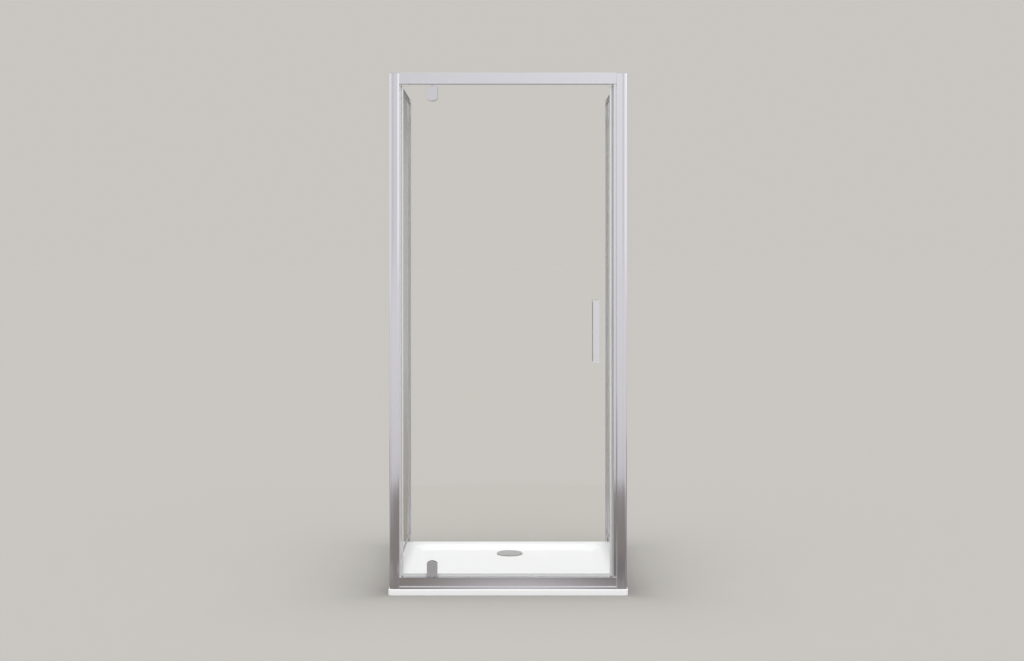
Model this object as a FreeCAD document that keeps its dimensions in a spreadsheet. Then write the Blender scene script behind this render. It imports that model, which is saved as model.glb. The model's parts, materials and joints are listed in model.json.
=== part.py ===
import FreeCAD, Part
import math
import os

import Sketcher

# A pivot shower door in its enclosure: a white tray, two glass side panels that run back to a wall, and a
# framed glass door that turns on pins near its left edge.
#
# Millimetres. The origin is the centre of the tray's underside: +X to the right, +Y back to the wall, +Z up.
# "Inward" is measured from the frame's outer side face, "depth" from its front face, and "height" from the
# rim of the tray.

SIZES = {
    # shower tray
    "tray_width": 900,
    "tray_depth": 900,
    "tray_height": 22,
    "tray_corner_radius": 10,
    "tray_edge_radius": 3,
    "rim_width": 55,
    "basin_side_run": 40,
    "basin_rear_run": 70,
    "basin_depth": 12,
    "basin_corner_radius": 60,
    "basin_lip_radius": 40,
    "basin_floor_radius": 60,
    # waste
    "waste_from_rear": 197,
    "waste_from_middle": 6,
    "waste_bore_radius": 45,
    "waste_rebate_radius": 55,
    "waste_rebate_depth": 3,
    "waste_rebate_gap": 0.3,
    "waste_seal_thickness": 1,
    "waste_seal_inner_radius": 47,
    "waste_flange_inner_radius": 40,
    "waste_cover_radius": 53,
    "waste_cover_thickness": 2.5,
    "waste_cover_lift": 1.5,
    "waste_foot_radius": 3,
    "waste_foot_circle": 46,
    "waste_peg_radius": 2.5,
    "waste_peg_gap": 0.4,
    "waste_peg_depth": 1.6,
    # whole frame
    "frame_width": 891,
    "frame_height": 1939,
    "front_ledge": 5,
    "rail_depth": 36,
    "slide_gap": 0.3,
    # how far a cutting shape runs past the face it opens, and a blind hole past its screw's tip
    "cut_overrun": 1,
    "blind_hole_extra": 0.2,
    # corner posts and door jambs
    "post_wall": 1.6,
    "post_strip_left": 7.5,
    "post_strip_right": 12,
    "post_groove_left": 4,
    "post_groove_right": 4.5,
    "jamb_wall": 1.8,
    "jamb_face_left": 25,
    "jamb_face_right": 22.5,
    "tongue_gap": 4,
    "cap_thickness": 1.5,
    "cap_plug_height": 8,
    "cap_plug_gap": 0.25,
    "cap_plug_length": 12,
    # header and threshold
    "header_height": 41,
    "header_lip": 5,
    "header_groove": 1,
    "header_groove_depth": 0.8,
    "threshold_height": 44,
    "threshold_lip": 11,
    "threshold_step": 3,
    "rail_wall": 2,
    "screw_port": 8,
    # frame screws
    "frame_screw_radius": 1.8,
    "frame_screw_length": 22,
    "frame_screw_head_radius": 3.2,
    "frame_screw_head_height": 1.8,
    "screw_fit": 0.05,
    # screws that hold each jamb to its post
    "jamb_screw_radius": 1.75,
    "jamb_screw_inset": 9,
    "jamb_screw_head_radius": 3.5,
    "jamb_screw_head_height": 2,
    "jamb_screw_tip": 0.5,
    "jamb_screw_end": 180,
    # side panels
    "panel_glass": 6,
    "panel_gasket": 3,
    "panel_wall": 1.5,
    "channel_wall": 1.5,
    "post_channel_depth": 16,
    "wall_channel_depth": 25,
    "wall_adjustment": 6,
    "stile_depth": 20,
    "top_rail_height": 15,
    "bottom_rail_height": 37,
    "wall_hole_radius": 2.6,
    "wall_hole_end": 150,
    "panel_screw_radius": 1.45,
    "panel_screw_head_radius": 2.8,
    "panel_screw_head_height": 1.6,
    "panel_screw_end": 120,
    "panel_screw_inset": 6,
    # strips down the two sides of the doorway
    "jamb_seal_thickness": 5.5,
    "jamb_seal_width": 12,
    "door_edge_gap": 1.5,
    "strike_neck": 1.5,
    "strike_neck_width": 8,
    "strike_profile": 8.8,
    "strike_profile_width": 20,
    "magnet_thickness": 3.7,
    "magnet_width": 12,
    "magnet_gap": 0.5,
    # door leaf
    "door_glass": 6,
    "door_top_gap": 8,
    "door_bottom_gap": 5,
    "edge_profile_base": 1.5,
    "edge_profile_wall": 1.8,
    "hinge_seal_cover": 5.5,
    "closing_profile_cover": 4.8,
    "bottom_seal_lift": 0.8,
    "bottom_seal_cover": 6,
    "bottom_seal_wall": 1.5,
    "bottom_seal_end_gap": 1,
    # pivots
    "pivot_from_left": 159.5,
    "pin_radius": 3,
    "pin_fit": 0.05,
    "pin_block_width": 14,
    "pin_block_depth": 10,
    "pin_block_height": 30,
    "pin_block_gap": 0.1,
    "notch_gap": 1,
    "bush_radius": 5,
    "bush_flange_radius": 8,
    "bush_flange_thickness": 1.2,
    "bush_length": 14,
    "pin_length_in_bush": 10,
    "pivot_play": 0.1,
    "pin_shoulder_radius": 6.5,
    # clamp plates
    "clamp_width": 40,
    "clamp_thickness": 8.5,
    "clamp_gasket": 0.5,
    "clamp_gasket_inset": 1,
    "clamp_corner_radius": 2,
    "clamp_edge_radius": 0.5,
    "clamp_sag": 8.5,
    "top_clamp_gap": 8,
    "bottom_clamp_gap": 2.5,
    "top_clamp_side": 47,
    "bottom_clamp_side": 48.5,
    "clamp_screw_radius": 2.5,
    "clamp_screw_spread": 24,
    "clamp_screw_from_block": 8,
    "clamp_screw_head_radius": 4.4,
    "clamp_screw_head_height": 2.8,
    "clamp_screw_bite": 6,
    "clamp_head_gap": 0.2,
    "clamp_hole_in_glass": 4,
    # handle
    "handle_from_right": 116,
    "handle_height": 968,
    "handle_length": 234,
    "handle_width": 25,
    "handle_grip_thickness": 8,
    "handle_grip_radius": 2,
    "handle_end_height": 6.5,
    "handle_end_overhang": 0.5,
    "outer_handle_reach": 36,
    "inner_handle_reach": 31,
    "handle_washer": 1,
    "handle_washer_inset": 1,
    "handle_stud_radius": 2,
    "handle_stud_bite": 14,
    "handle_hole_in_glass": 4,
}

doc = FreeCAD.newDocument("PivotShowerDoor")
sheet = doc.addObject("Spreadsheet::Sheet", "Sizes")
for row, (alias, amount) in enumerate(SIZES.items(), start=1):
    sheet.set(f"A{row}", alias)
    sheet.set(f"B{row}", str(amount))
    sheet.setAlias(f"B{row}", alias)
doc.recompute()

subparts = []
OVERRUN = "Sizes.cut_overrun"
NEAR = 0.01  # two places closer than this are the same one

# Places that several pieces share, written as formulas of the sizes above.

WALL = "Sizes.tray_depth / 2"
FRONT = "(Sizes.front_ledge - Sizes.tray_depth / 2)"
DOOR = f"({FRONT} + Sizes.rail_depth / 2)"
TOP = "Sizes.frame_height"
THRESHOLD_TOP = "Sizes.threshold_height"
HEADER_FOOT = "(Sizes.frame_height - Sizes.header_height)"
POST_TOP = "(Sizes.frame_height - Sizes.cap_thickness)"
MIRROR = {"left": "-", "right": ""}


def height(expression):
    """Z of a height above the tray's rim."""
    return f"(Sizes.tray_height + {expression})"


def depth(expression):
    """Y of a depth behind the frame's front face."""
    return f"({FRONT} + {expression})"


def inward(side, expression):
    """X of a distance inward from the frame's outer face on one side."""
    return f"({MIRROR[side]}(Sizes.frame_width / 2 - ({expression})))"


def value(expression):
    return float(sheet.evalExpression(expression))


# Drawing tools: every corner, centre and radius is tied to its formula.


def label(piece, name):
    piece.Label = name
    subparts.append(piece)
    return piece


def new_body(name):
    return doc.addObject("PartDesign::Body", name)


def new_sketch(body, name, plane, level):
    """A sketch on one of the body's own planes, moved along that plane's normal to a level."""
    sketch = body.newObject("Sketcher::SketchObject", name)
    role = {"plan": "XY_Plane", "front": "XZ_Plane", "side": "YZ_Plane"}[plane]
    origin_plane = [face for face in body.Origin.OriginFeatures if face.Role == role][0]
    sketch.AttachmentSupport = (origin_plane, [""])
    sketch.MapMode = "FlatFace"
    # the front plane's normal points along -Y
    turned = f"-({level})" if plane == "front" else level
    sketch.setExpression("AttachmentOffset.Base.z", turned)
    return sketch


def tie(sketch, kind, geometry, point, expression):
    rule = Sketcher.Constraint(kind, -1, 1, geometry, point, value(expression))
    index = sketch.addConstraint(rule)
    sketch.setExpression(f"Constraints[{index}]", expression)


def draw_ring(sketch, corners):
    """A closed outline through corners, each a pair of formulas."""
    first = sketch.GeometryCount
    count = len(corners)
    spots = [FreeCAD.Vector(value(across), value(up), 0) for across, up in corners]
    for index in range(count):
        sketch.addGeometry(Part.LineSegment(spots[index], spots[(index + 1) % count]), False)
    for index in range(count):
        following = first + (index + 1) % count
        sketch.addConstraint(Sketcher.Constraint("Coincident", first + index, 2, following, 1))
    for index, (across, up) in enumerate(corners):
        tie(sketch, "DistanceX", first + index, 1, across)
        tie(sketch, "DistanceY", first + index, 1, up)


def draw_circle(sketch, across, up, radius):
    centre = FreeCAD.Vector(value(across), value(up), 0)
    circle = Part.Circle(centre, FreeCAD.Vector(0, 0, 1), value(radius))
    geometry = sketch.addGeometry(circle, False)
    tie(sketch, "DistanceX", geometry, 3, across)
    tie(sketch, "DistanceY", geometry, 3, up)
    index = sketch.addConstraint(Sketcher.Constraint("Radius", geometry, value(radius)))
    sketch.setExpression(f"Constraints[{index}]", radius)


def pad(body, sketch, length):
    doc.recompute()
    feature = body.newObject("PartDesign::Pad", "Pad")
    feature.Profile = sketch
    feature.setExpression("Length", length)
    doc.recompute()
    return feature


def extrusion(name, plane, start, length, rings, circles=()):
    """A profile drawn on a plane and padded along its normal. A front profile starts at its rear face."""
    body = new_body(name)
    sketch = new_sketch(body, name + "_profile", plane, start)
    for corners in rings:
        draw_ring(sketch, corners)
    for circle in circles:
        draw_circle(sketch, *circle)
    pad(body, sketch, length)
    return body


def rectangle(x0, x1, y0, y1):
    return [(x0, y0), (x1, y0), (x1, y1), (x0, y1)]


def rounded(body, base, chosen, radius):
    """A fillet on the edges of a feature that the test chooses."""
    names = [f"Edge{number}" for number, edge in enumerate(base.Shape.Edges, start=1) if chosen(edge)]
    fillet = body.newObject("PartDesign::Fillet", "Fillet")
    fillet.Base = (base, names)
    fillet.setExpression("Radius", radius)
    doc.recompute()
    return fillet


def block(name, x0, x1, y0, y1, z0, z1):
    """A box between pairs of formulas."""
    box = doc.addObject("Part::Box", name)
    for axis, size, low, high in (("x", "Length", x0, x1), ("y", "Width", y0, y1), ("z", "Height", z0, z1)):
        box.setExpression(f"Placement.Base.{axis}", low)
        box.setExpression(size, f"({high}) - ({low})")
    return box


TURNS = {
    "+x": FreeCAD.Vector(1, 0, 0),
    "-x": FreeCAD.Vector(-1, 0, 0),
    "+y": FreeCAD.Vector(0, 1, 0),
    "-y": FreeCAD.Vector(0, -1, 0),
    "+z": FreeCAD.Vector(0, 0, 1),
    "-z": FreeCAD.Vector(0, 0, -1),
}


def rod(name, direction, place, radius, length):
    """A cylinder from a place, given as three formulas, along a direction."""
    cylinder = doc.addObject("Part::Cylinder", name)
    turn = FreeCAD.Rotation(FreeCAD.Vector(0, 0, 1), TURNS[direction])
    cylinder.Placement = FreeCAD.Placement(FreeCAD.Vector(0, 0, 0), turn)
    for axis, expression in zip("xyz", place):
        cylinder.setExpression(f"Placement.Base.{axis}", expression)
    cylinder.setExpression("Radius", radius)
    cylinder.setExpression("Height", length)
    return cylinder


def fused(name, pieces):
    whole = doc.addObject("Part::MultiFuse", name)
    whole.Shapes = pieces
    whole.Refine = True
    return whole


def grouped(name, pieces):
    """Separate solids under one name, such as a set of identical screws."""
    group = doc.addObject("Part::Compound", name)
    group.Links = pieces
    return group


def cut(name, base, tools):
    result = doc.addObject("Part::Cut", name)
    result.Base = base
    result.Tool = tools[0] if len(tools) == 1 else fused(name + "_tools", tools)
    return result


def screw(name, direction, place, head_radius, head_height, shank_radius, shank_length):
    """A screw whose head seats at a place, with its shank along the direction."""
    back = {"+": "-", "-": "+"}[direction[0]] + direction[1]
    head = rod(name + "_head", back, place, head_radius, head_height)
    shank = rod(name + "_shank", direction, place, shank_radius, shank_length)
    return fused(name, [head, shank])


# Shower tray


WASTE_X = "Sizes.waste_from_middle"
WASTE_Y = "(Sizes.tray_depth / 2 - Sizes.waste_from_rear)"
BASIN_FLOOR = "(Sizes.tray_height - Sizes.basin_depth)"
REBATE_FLOOR = f"({BASIN_FLOOR} - Sizes.waste_rebate_depth)"


def draw_rounded_rectangle(sketch, x0, x1, y0, y1, radius):
    """Four sides and four tangent corner arcs."""
    left, right, low, high, r = (value(term) for term in (x0, x1, y0, y1, radius))
    vector = FreeCAD.Vector
    sides = [
        (vector(left + r, low, 0), vector(right - r, low, 0)),
        (vector(right, low + r, 0), vector(right, high - r, 0)),
        (vector(right - r, high, 0), vector(left + r, high, 0)),
        (vector(left, high - r, 0), vector(left, low + r, 0)),
    ]
    bends = [
        vector(right - r, low + r, 0),
        vector(right - r, high - r, 0),
        vector(left + r, high - r, 0),
        vector(left + r, low + r, 0),
    ]
    quarter = math.pi / 2
    for start, end in sides:
        sketch.addGeometry(Part.LineSegment(start, end), False)
    for index, centre in enumerate(bends):
        circle = Part.Circle(centre, vector(0, 0, 1), r)
        sketch.addGeometry(Part.ArcOfCircle(circle, (index - 1) * quarter, index * quarter), False)
    for index in range(4):
        arc = index + 4
        sketch.addConstraint(Sketcher.Constraint("Tangent", index, 2, arc, 1))
        sketch.addConstraint(Sketcher.Constraint("Tangent", arc, 2, (index + 1) % 4, 1))
    for index, kind in ((0, "Horizontal"), (1, "Vertical"), (2, "Horizontal"), (3, "Vertical")):
        sketch.addConstraint(Sketcher.Constraint(kind, index))
    tie(sketch, "DistanceY", 0, 1, y0)
    tie(sketch, "DistanceX", 1, 1, x1)
    tie(sketch, "DistanceY", 2, 1, y1)
    tie(sketch, "DistanceX", 3, 1, x0)
    for arc in range(4, 7):
        sketch.addConstraint(Sketcher.Constraint("Equal", arc, arc + 1))
    index = sketch.addConstraint(Sketcher.Constraint("Radius", 4, r))
    sketch.setExpression(f"Constraints[{index}]", radius)


def shower_tray():
    body = new_body("tray_slab")
    outline = new_sketch(body, "tray_outline", "plan", "0")
    half_width = "Sizes.tray_width / 2"
    half_depth = "Sizes.tray_depth / 2"
    edges = (f"-({half_width})", half_width, f"-({half_depth})", half_depth)
    draw_rounded_rectangle(outline, *edges, "Sizes.tray_corner_radius")
    slab = pad(body, outline, "Sizes.tray_height")
    rim = value("Sizes.tray_height")
    top = rounded(body, slab, lambda edge: edge.BoundBox.ZMin > rim - NEAR, "Sizes.tray_edge_radius")

    lip = new_sketch(body, "basin_lip", "plan", "Sizes.tray_height")
    inset = "Sizes.rim_width"
    draw_rounded_rectangle(
        lip,
        f"{inset} - {half_width}",
        f"{half_width} - {inset}",
        f"{inset} - {half_depth}",
        f"{half_depth} - {inset}",
        "Sizes.basin_corner_radius",
    )
    floor = new_sketch(body, "basin_floor", "plan", BASIN_FLOOR)
    side_inset = "(Sizes.rim_width + Sizes.basin_side_run)"
    rear_inset = "(Sizes.rim_width + Sizes.basin_rear_run)"
    draw_rounded_rectangle(
        floor,
        f"{side_inset} - {half_width}",
        f"{half_width} - {side_inset}",
        f"{side_inset} - {half_depth}",
        f"{half_depth} - {rear_inset}",
        "Sizes.basin_corner_radius",
    )
    doc.recompute()
    before = top.Shape.Volume
    basin = body.newObject("PartDesign::SubtractiveLoft", "basin")
    basin.Profile = lip
    basin.Sections = [floor]
    basin.Ruled = True
    doc.recompute()
    assert basin.Shape.Volume < before

    def level_with(expression):
        """A test for the basin's own edges that lie at a level."""
        level = value(expression)
        reach = value(f"{half_width} - {inset}") + NEAR

        def chosen(edge):
            box = edge.BoundBox
            flat = abs(box.ZMin - level) < NEAR and box.ZLength < NEAR
            return flat and max(box.XMax, -box.XMin) < reach

        return chosen

    eased = rounded(body, basin, level_with("Sizes.tray_height"), "Sizes.basin_lip_radius")
    rounded(body, eased, level_with(BASIN_FLOOR), "Sizes.basin_floor_radius")

    through = f"Sizes.tray_height + 2 * {OVERRUN}"
    bore = rod("waste_bore", "+z", (WASTE_X, WASTE_Y, f"-{OVERRUN}"), "Sizes.waste_bore_radius", through)
    seat = (WASTE_X, WASTE_Y, REBATE_FLOOR)
    rebate = rod("waste_rebate", "+z", seat, "Sizes.waste_rebate_radius", "Sizes.tray_height")
    label(cut("tray", body, [bore, rebate]), "shower_tray")


# Waste: a sealing ring and a flange in the tray's rebate, and a cover that lifts out


SEAL_TOP = f"({REBATE_FLOOR} + Sizes.waste_seal_thickness)"
COVER_UNDERSIDE = f"({BASIN_FLOOR} + Sizes.waste_cover_lift)"
COVER_FOOT_COUNT = 3


def waste_ring(name, low, high, outer, inner):
    disc = rod(name + "_disc", "+z", (WASTE_X, WASTE_Y, low), outer, f"{high} - {low}")
    start = f"{low} - {OVERRUN}"
    hole = rod(name + "_hole", "+z", (WASTE_X, WASTE_Y, start), inner, f"{high} - {low} + 2 * {OVERRUN}")
    return cut(name, disc, [hole])


def round_the_waste(index, radius):
    """X and Y of one of the places round the waste's axis."""
    angle = 90 + 360 / COVER_FOOT_COUNT * index
    return f"{WASTE_X} + {radius} * cos({angle})", f"{WASTE_Y} + {radius} * sin({angle})"


def waste():
    rim = "Sizes.waste_rebate_radius - Sizes.waste_rebate_gap"
    seal = waste_ring("seal_ring", REBATE_FLOOR, SEAL_TOP, rim, "Sizes.waste_seal_inner_radius")
    label(seal, "waste_seal")
    flange = waste_ring("flange_ring", SEAL_TOP, BASIN_FLOOR, rim, "Sizes.waste_flange_inner_radius")
    label(flange, "waste_flange")

    middle = (WASTE_X, WASTE_Y, COVER_UNDERSIDE)
    pieces = [rod("cover_disc", "+z", middle, "Sizes.waste_cover_radius", "Sizes.waste_cover_thickness")]
    peg_circle = "(Sizes.waste_flange_inner_radius - Sizes.waste_peg_radius - Sizes.waste_peg_gap)"
    for index in range(COVER_FOOT_COUNT):
        x, y = round_the_waste(index, "Sizes.waste_foot_circle")
        foot = (x, y, BASIN_FLOOR)
        pieces.append(rod("cover_foot", "+z", foot, "Sizes.waste_foot_radius", "Sizes.waste_cover_lift"))
        x, y = round_the_waste(index, peg_circle)
        low = f"({BASIN_FLOOR} - Sizes.waste_peg_depth)"
        reach = "Sizes.waste_cover_lift + Sizes.waste_peg_depth"
        pieces.append(rod("cover_peg", "+z", (x, y, low), "Sizes.waste_peg_radius", reach))
    label(fused("cover", pieces), "waste_cover")


# Corner posts and door jambs. The post's tongue slides inside the jamb, and a channel on the post's back
# holds the side panel.


CHANNEL_WIDTH = (
    "(2 * Sizes.panel_wall + 2 * Sizes.panel_gasket + Sizes.panel_glass"
    " + 2 * Sizes.slide_gap + 2 * Sizes.channel_wall)"
)
CHANNEL_BACK = "(Sizes.rail_depth + Sizes.slide_gap)"
CHANNEL_END = f"({CHANNEL_BACK} + Sizes.post_channel_depth)"
PANEL_OUTER = "(Sizes.channel_wall + Sizes.slide_gap)"
PANEL_INNER = f"({CHANNEL_WIDTH} - Sizes.channel_wall - Sizes.slide_gap)"
PANEL_MIDDLE = f"({CHANNEL_WIDTH} / 2)"
TONGUE_FRONT = "(Sizes.jamb_wall + Sizes.slide_gap)"
TONGUE_BACK = f"(Sizes.rail_depth - {TONGUE_FRONT})"
JAMB_SCREW_COUNT = 4
WALL_HOLE_COUNT = 4
PANEL_SCREW_COUNT = 3


def strip_edge(side):
    """Inward distance of the post's front strip's inner edge."""
    return f"Sizes.post_strip_{side}"


def jamb_outer(side):
    return f"(Sizes.post_strip_{side} + Sizes.post_groove_{side})"


def jamb_inner(side):
    """Inward distance of the doorway's side face."""
    return f"({jamb_outer(side)} + Sizes.jamb_face_{side})"


def plan_ring(side, corners):
    """Corners given as (inward, depth) pairs, turned into X and Y."""
    return [(inward(side, across), depth(back)) for across, back in corners]


def spread(end, count):
    """Z of evenly spaced places up a post, the first and the last at a distance from its ends."""
    pitch = f"({POST_TOP} - 2 * Sizes.{end}) / {count - 1}"
    return [height(f"Sizes.{end} + {index} * {pitch}") for index in range(count)]


def jamb_screw_places(side):
    x = inward(side, f"{jamb_inner(side)} - Sizes.jamb_screw_inset")
    return [(x, depth("Sizes.rail_depth"), z) for z in spread("jamb_screw_end", JAMB_SCREW_COUNT)]


def panel_screw_places(side):
    """Places on the inner faces of the post's channel and of the wall channel."""
    x = inward(side, CHANNEL_WIDTH)
    front = depth(f"{CHANNEL_END} - Sizes.panel_screw_inset")
    rear = f"({WALL} - Sizes.wall_channel_depth + Sizes.panel_screw_inset)"
    levels = spread("panel_screw_end", PANEL_SCREW_COUNT)
    return [(x, front, z) for z in levels], [(x, rear, z) for z in levels]


def away(side):
    """The direction from the doorway to the frame's outer face."""
    return {"left": "-x", "right": "+x"}[side]


def towards(side):
    return {"left": "+x", "right": "-x"}[side]


def panel_screw_holes(side, places):
    reach = f"Sizes.channel_wall + Sizes.slide_gap + Sizes.panel_wall + {OVERRUN}"
    radius = "Sizes.panel_screw_radius + Sizes.screw_fit"
    return [rod("panel_screw_hole", away(side), place, radius, reach) for place in places]


def corner_post(side):
    strip = strip_edge(side)
    tongue_end = f"({jamb_inner(side)} - Sizes.tongue_gap)"
    slot_floor = f"({CHANNEL_BACK} + Sizes.channel_wall)"
    slot_side = f"({CHANNEL_WIDTH} - Sizes.channel_wall)"
    wall = "Sizes.post_wall"
    outline = [
        ("0", "0"),
        (strip, "0"),
        (strip, TONGUE_FRONT),
        (tongue_end, TONGUE_FRONT),
        (tongue_end, TONGUE_BACK),
        (strip, TONGUE_BACK),
        (strip, CHANNEL_BACK),
        (CHANNEL_WIDTH, CHANNEL_BACK),
        (CHANNEL_WIDTH, CHANNEL_END),
        (slot_side, CHANNEL_END),
        (slot_side, slot_floor),
        ("Sizes.channel_wall", slot_floor),
        ("Sizes.channel_wall", CHANNEL_END),
        ("0", CHANNEL_END),
    ]
    void = [
        (wall, wall),
        (f"{strip} - {wall}", wall),
        (f"{strip} - {wall}", f"{TONGUE_FRONT} + {wall}"),
        (f"{tongue_end} - {wall}", f"{TONGUE_FRONT} + {wall}"),
        (f"{tongue_end} - {wall}", f"{TONGUE_BACK} - {wall}"),
        (f"{strip} - {wall}", f"{TONGUE_BACK} - {wall}"),
        (f"{strip} - {wall}", f"Sizes.rail_depth - {wall}"),
        (wall, f"Sizes.rail_depth - {wall}"),
    ]
    rings = [plan_ring(side, outline), plan_ring(side, void)]
    post = extrusion(f"post_profile_{side}", "plan", "Sizes.tray_height", POST_TOP, rings)
    reach = f"Sizes.jamb_wall + Sizes.slide_gap + {wall} + {OVERRUN}"
    radius = "Sizes.jamb_screw_radius + Sizes.screw_fit"
    holes = [rod("tongue_hole", "-y", place, radius, reach) for place in jamb_screw_places(side)]
    holes += panel_screw_holes(side, panel_screw_places(side)[0])
    label(cut(f"post_{side}", post, holes), f"corner_post_{side}")


def door_jamb(side):
    outer, inner, wall = jamb_outer(side), jamb_inner(side), "Sizes.jamb_wall"
    outline = [
        (outer, "0"),
        (inner, "0"),
        (inner, "Sizes.rail_depth"),
        (outer, "Sizes.rail_depth"),
        (outer, f"Sizes.rail_depth - {wall}"),
        (f"{inner} - {wall}", f"Sizes.rail_depth - {wall}"),
        (f"{inner} - {wall}", wall),
        (outer, wall),
    ]
    ring = plan_ring(side, outline)
    jamb = extrusion(f"jamb_profile_{side}", "plan", "Sizes.tray_height", POST_TOP, [ring])
    reach = f"{wall} + {OVERRUN}"
    radius = "Sizes.jamb_screw_radius + Sizes.screw_fit"
    holes = [rod("jamb_hole", "-y", place, radius, reach) for place in jamb_screw_places(side)]
    radius = "Sizes.frame_screw_radius + Sizes.screw_fit"
    holes += [rod("port_hole", towards(side), place, radius, reach) for place in frame_screw_places(side)]
    label(cut(f"jamb_{side}", jamb, holes), f"door_jamb_{side}")


def post_cap(side):
    """A cap over the post and the jamb, with a plug in the post's hollow."""
    inner = jamb_inner(side)
    outline = [
        ("0", "0"),
        (inner, "0"),
        (inner, "Sizes.rail_depth"),
        (CHANNEL_WIDTH, "Sizes.rail_depth"),
        (CHANNEL_WIDTH, CHANNEL_END),
        ("0", CHANNEL_END),
    ]
    plate = extrusion(
        f"cap_plate_{side}",
        "plan",
        height(POST_TOP),
        "Sizes.cap_thickness",
        [plan_ring(side, outline)],
    )
    gap = "(Sizes.post_wall + Sizes.cap_plug_gap)"
    sides = sorted((inward(side, gap), inward(side, f"{strip_edge(side)} - {gap}")), key=value)
    plug = block(
        "cap_plug",
        *sides,
        depth(gap),
        depth(f"{gap} + Sizes.cap_plug_length"),
        height(f"{POST_TOP} - Sizes.cap_plug_height"),
        height(POST_TOP),
    )
    label(fused(f"cap_{side}", [plate, plug]), f"post_cap_{side}")


# Header and threshold rails, with screw ports in their corners


LEFT_FACE = inward("left", jamb_inner("left"))
RIGHT_FACE = inward("right", jamb_inner("right"))
DOORWAY = f"{RIGHT_FACE} - {LEFT_FACE}"
HALF_PORT = "(Sizes.screw_port / 2)"
REAR_PORT = f"(Sizes.rail_depth - Sizes.rail_wall - {HALF_PORT})"
HEADER_PORTS = [
    (f"(Sizes.rail_wall + {HALF_PORT})", f"({TOP} - Sizes.rail_wall - {HALF_PORT})"),
    (REAR_PORT, f"({TOP} - Sizes.rail_wall - {HALF_PORT})"),
]
THRESHOLD_PORTS = [
    (f"(Sizes.threshold_step + Sizes.rail_wall + {HALF_PORT})", f"(Sizes.rail_wall + {HALF_PORT})"),
    (REAR_PORT, f"(Sizes.rail_wall + {HALF_PORT})"),
]


def frame_screw_places(side):
    """Where the frame screws' heads seat, on the hollow side of the jamb's inner wall."""
    x = inward(side, f"{jamb_inner(side)} - Sizes.jamb_wall")
    return [(x, depth(back), height(up)) for back, up in HEADER_PORTS + THRESHOLD_PORTS]


def side_ring(corners):
    """Corners given as (depth, height) pairs, turned into Y and Z."""
    return [(depth(back), height(up)) for back, up in corners]


def port_circles(ports):
    return [(depth(back), height(up), "Sizes.frame_screw_radius + Sizes.screw_fit") for back, up in ports]


def header_rail():
    wall, port, full = "Sizes.rail_wall", "Sizes.screw_port", "Sizes.rail_depth"
    lip_top = f"{HEADER_FOOT} + Sizes.header_lip"
    outline = [
        ("0", HEADER_FOOT),
        (full, HEADER_FOOT),
        (full, TOP),
        ("0", TOP),
        ("0", f"{lip_top} + Sizes.header_groove"),
        ("Sizes.header_groove_depth", f"{lip_top} + Sizes.header_groove"),
        ("Sizes.header_groove_depth", lip_top),
        ("0", lip_top),
    ]
    void = [
        (wall, f"{HEADER_FOOT} + {wall}"),
        (f"{full} - {wall}", f"{HEADER_FOOT} + {wall}"),
        (f"{full} - {wall}", f"{TOP} - {wall} - {port}"),
        (f"{full} - {wall} - {port}", f"{TOP} - {wall} - {port}"),
        (f"{full} - {wall} - {port}", f"{TOP} - {wall}"),
        (f"{wall} + {port}", f"{TOP} - {wall}"),
        (f"{wall} + {port}", f"{TOP} - {wall} - {port}"),
        (wall, f"{TOP} - {wall} - {port}"),
    ]
    rail = extrusion(
        "header_profile",
        "side",
        LEFT_FACE,
        DOORWAY,
        [side_ring(outline), side_ring(void)],
        port_circles(HEADER_PORTS),
    )
    place = (PIVOT, DOOR, height(f"{HEADER_FOOT} - {OVERRUN}"))
    through = f"{wall} + 2 * {OVERRUN}"
    hole = rod("header_bush_hole", "+z", place, "Sizes.bush_radius + Sizes.pin_fit", through)
    label(cut("header", rail, [hole]), "header_rail")


def threshold_rail():
    wall, port, full = "Sizes.rail_wall", "Sizes.screw_port", "Sizes.rail_depth"
    face, lip, top = "Sizes.threshold_step", "Sizes.threshold_lip", "Sizes.threshold_height"
    inner_face = f"({face} + {wall})"
    outline = [
        ("0", "0"),
        (full, "0"),
        (full, top),
        (face, top),
        (face, lip),
        ("0", f"{lip} - {face}"),
    ]
    void = [
        (inner_face, f"{top} - {wall}"),
        (f"{full} - {wall}", f"{top} - {wall}"),
        (f"{full} - {wall}", f"{wall} + {port}"),
        (f"{full} - {wall} - {port}", f"{wall} + {port}"),
        (f"{full} - {wall} - {port}", wall),
        (f"{inner_face} + {port}", wall),
        (f"{inner_face} + {port}", f"{wall} + {port}"),
        (inner_face, f"{wall} + {port}"),
    ]
    rail = extrusion(
        "threshold_profile",
        "side",
        LEFT_FACE,
        DOORWAY,
        [side_ring(outline), side_ring(void)],
        port_circles(THRESHOLD_PORTS),
    )
    place = (PIVOT, DOOR, height(f"{top} + {OVERRUN}"))
    through = f"{wall} + 2 * {OVERRUN}"
    hole = rod("threshold_bush_hole", "-z", place, "Sizes.bush_radius + Sizes.pin_fit", through)
    label(cut("threshold", rail, [hole]), "threshold_rail")


def frame_screws():
    """Self-tapping screws through the jambs into the rails' screw ports."""
    screws = []
    for side in MIRROR:
        for place in frame_screw_places(side):
            screws.append(
                screw(
                    "frame_screw",
                    towards(side),
                    place,
                    "Sizes.frame_screw_head_radius",
                    "Sizes.frame_screw_head_height",
                    "Sizes.frame_screw_radius",
                    "Sizes.frame_screw_length",
                )
            )
    label(grouped("frame_screw_set", screws), "frame_screws")


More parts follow.
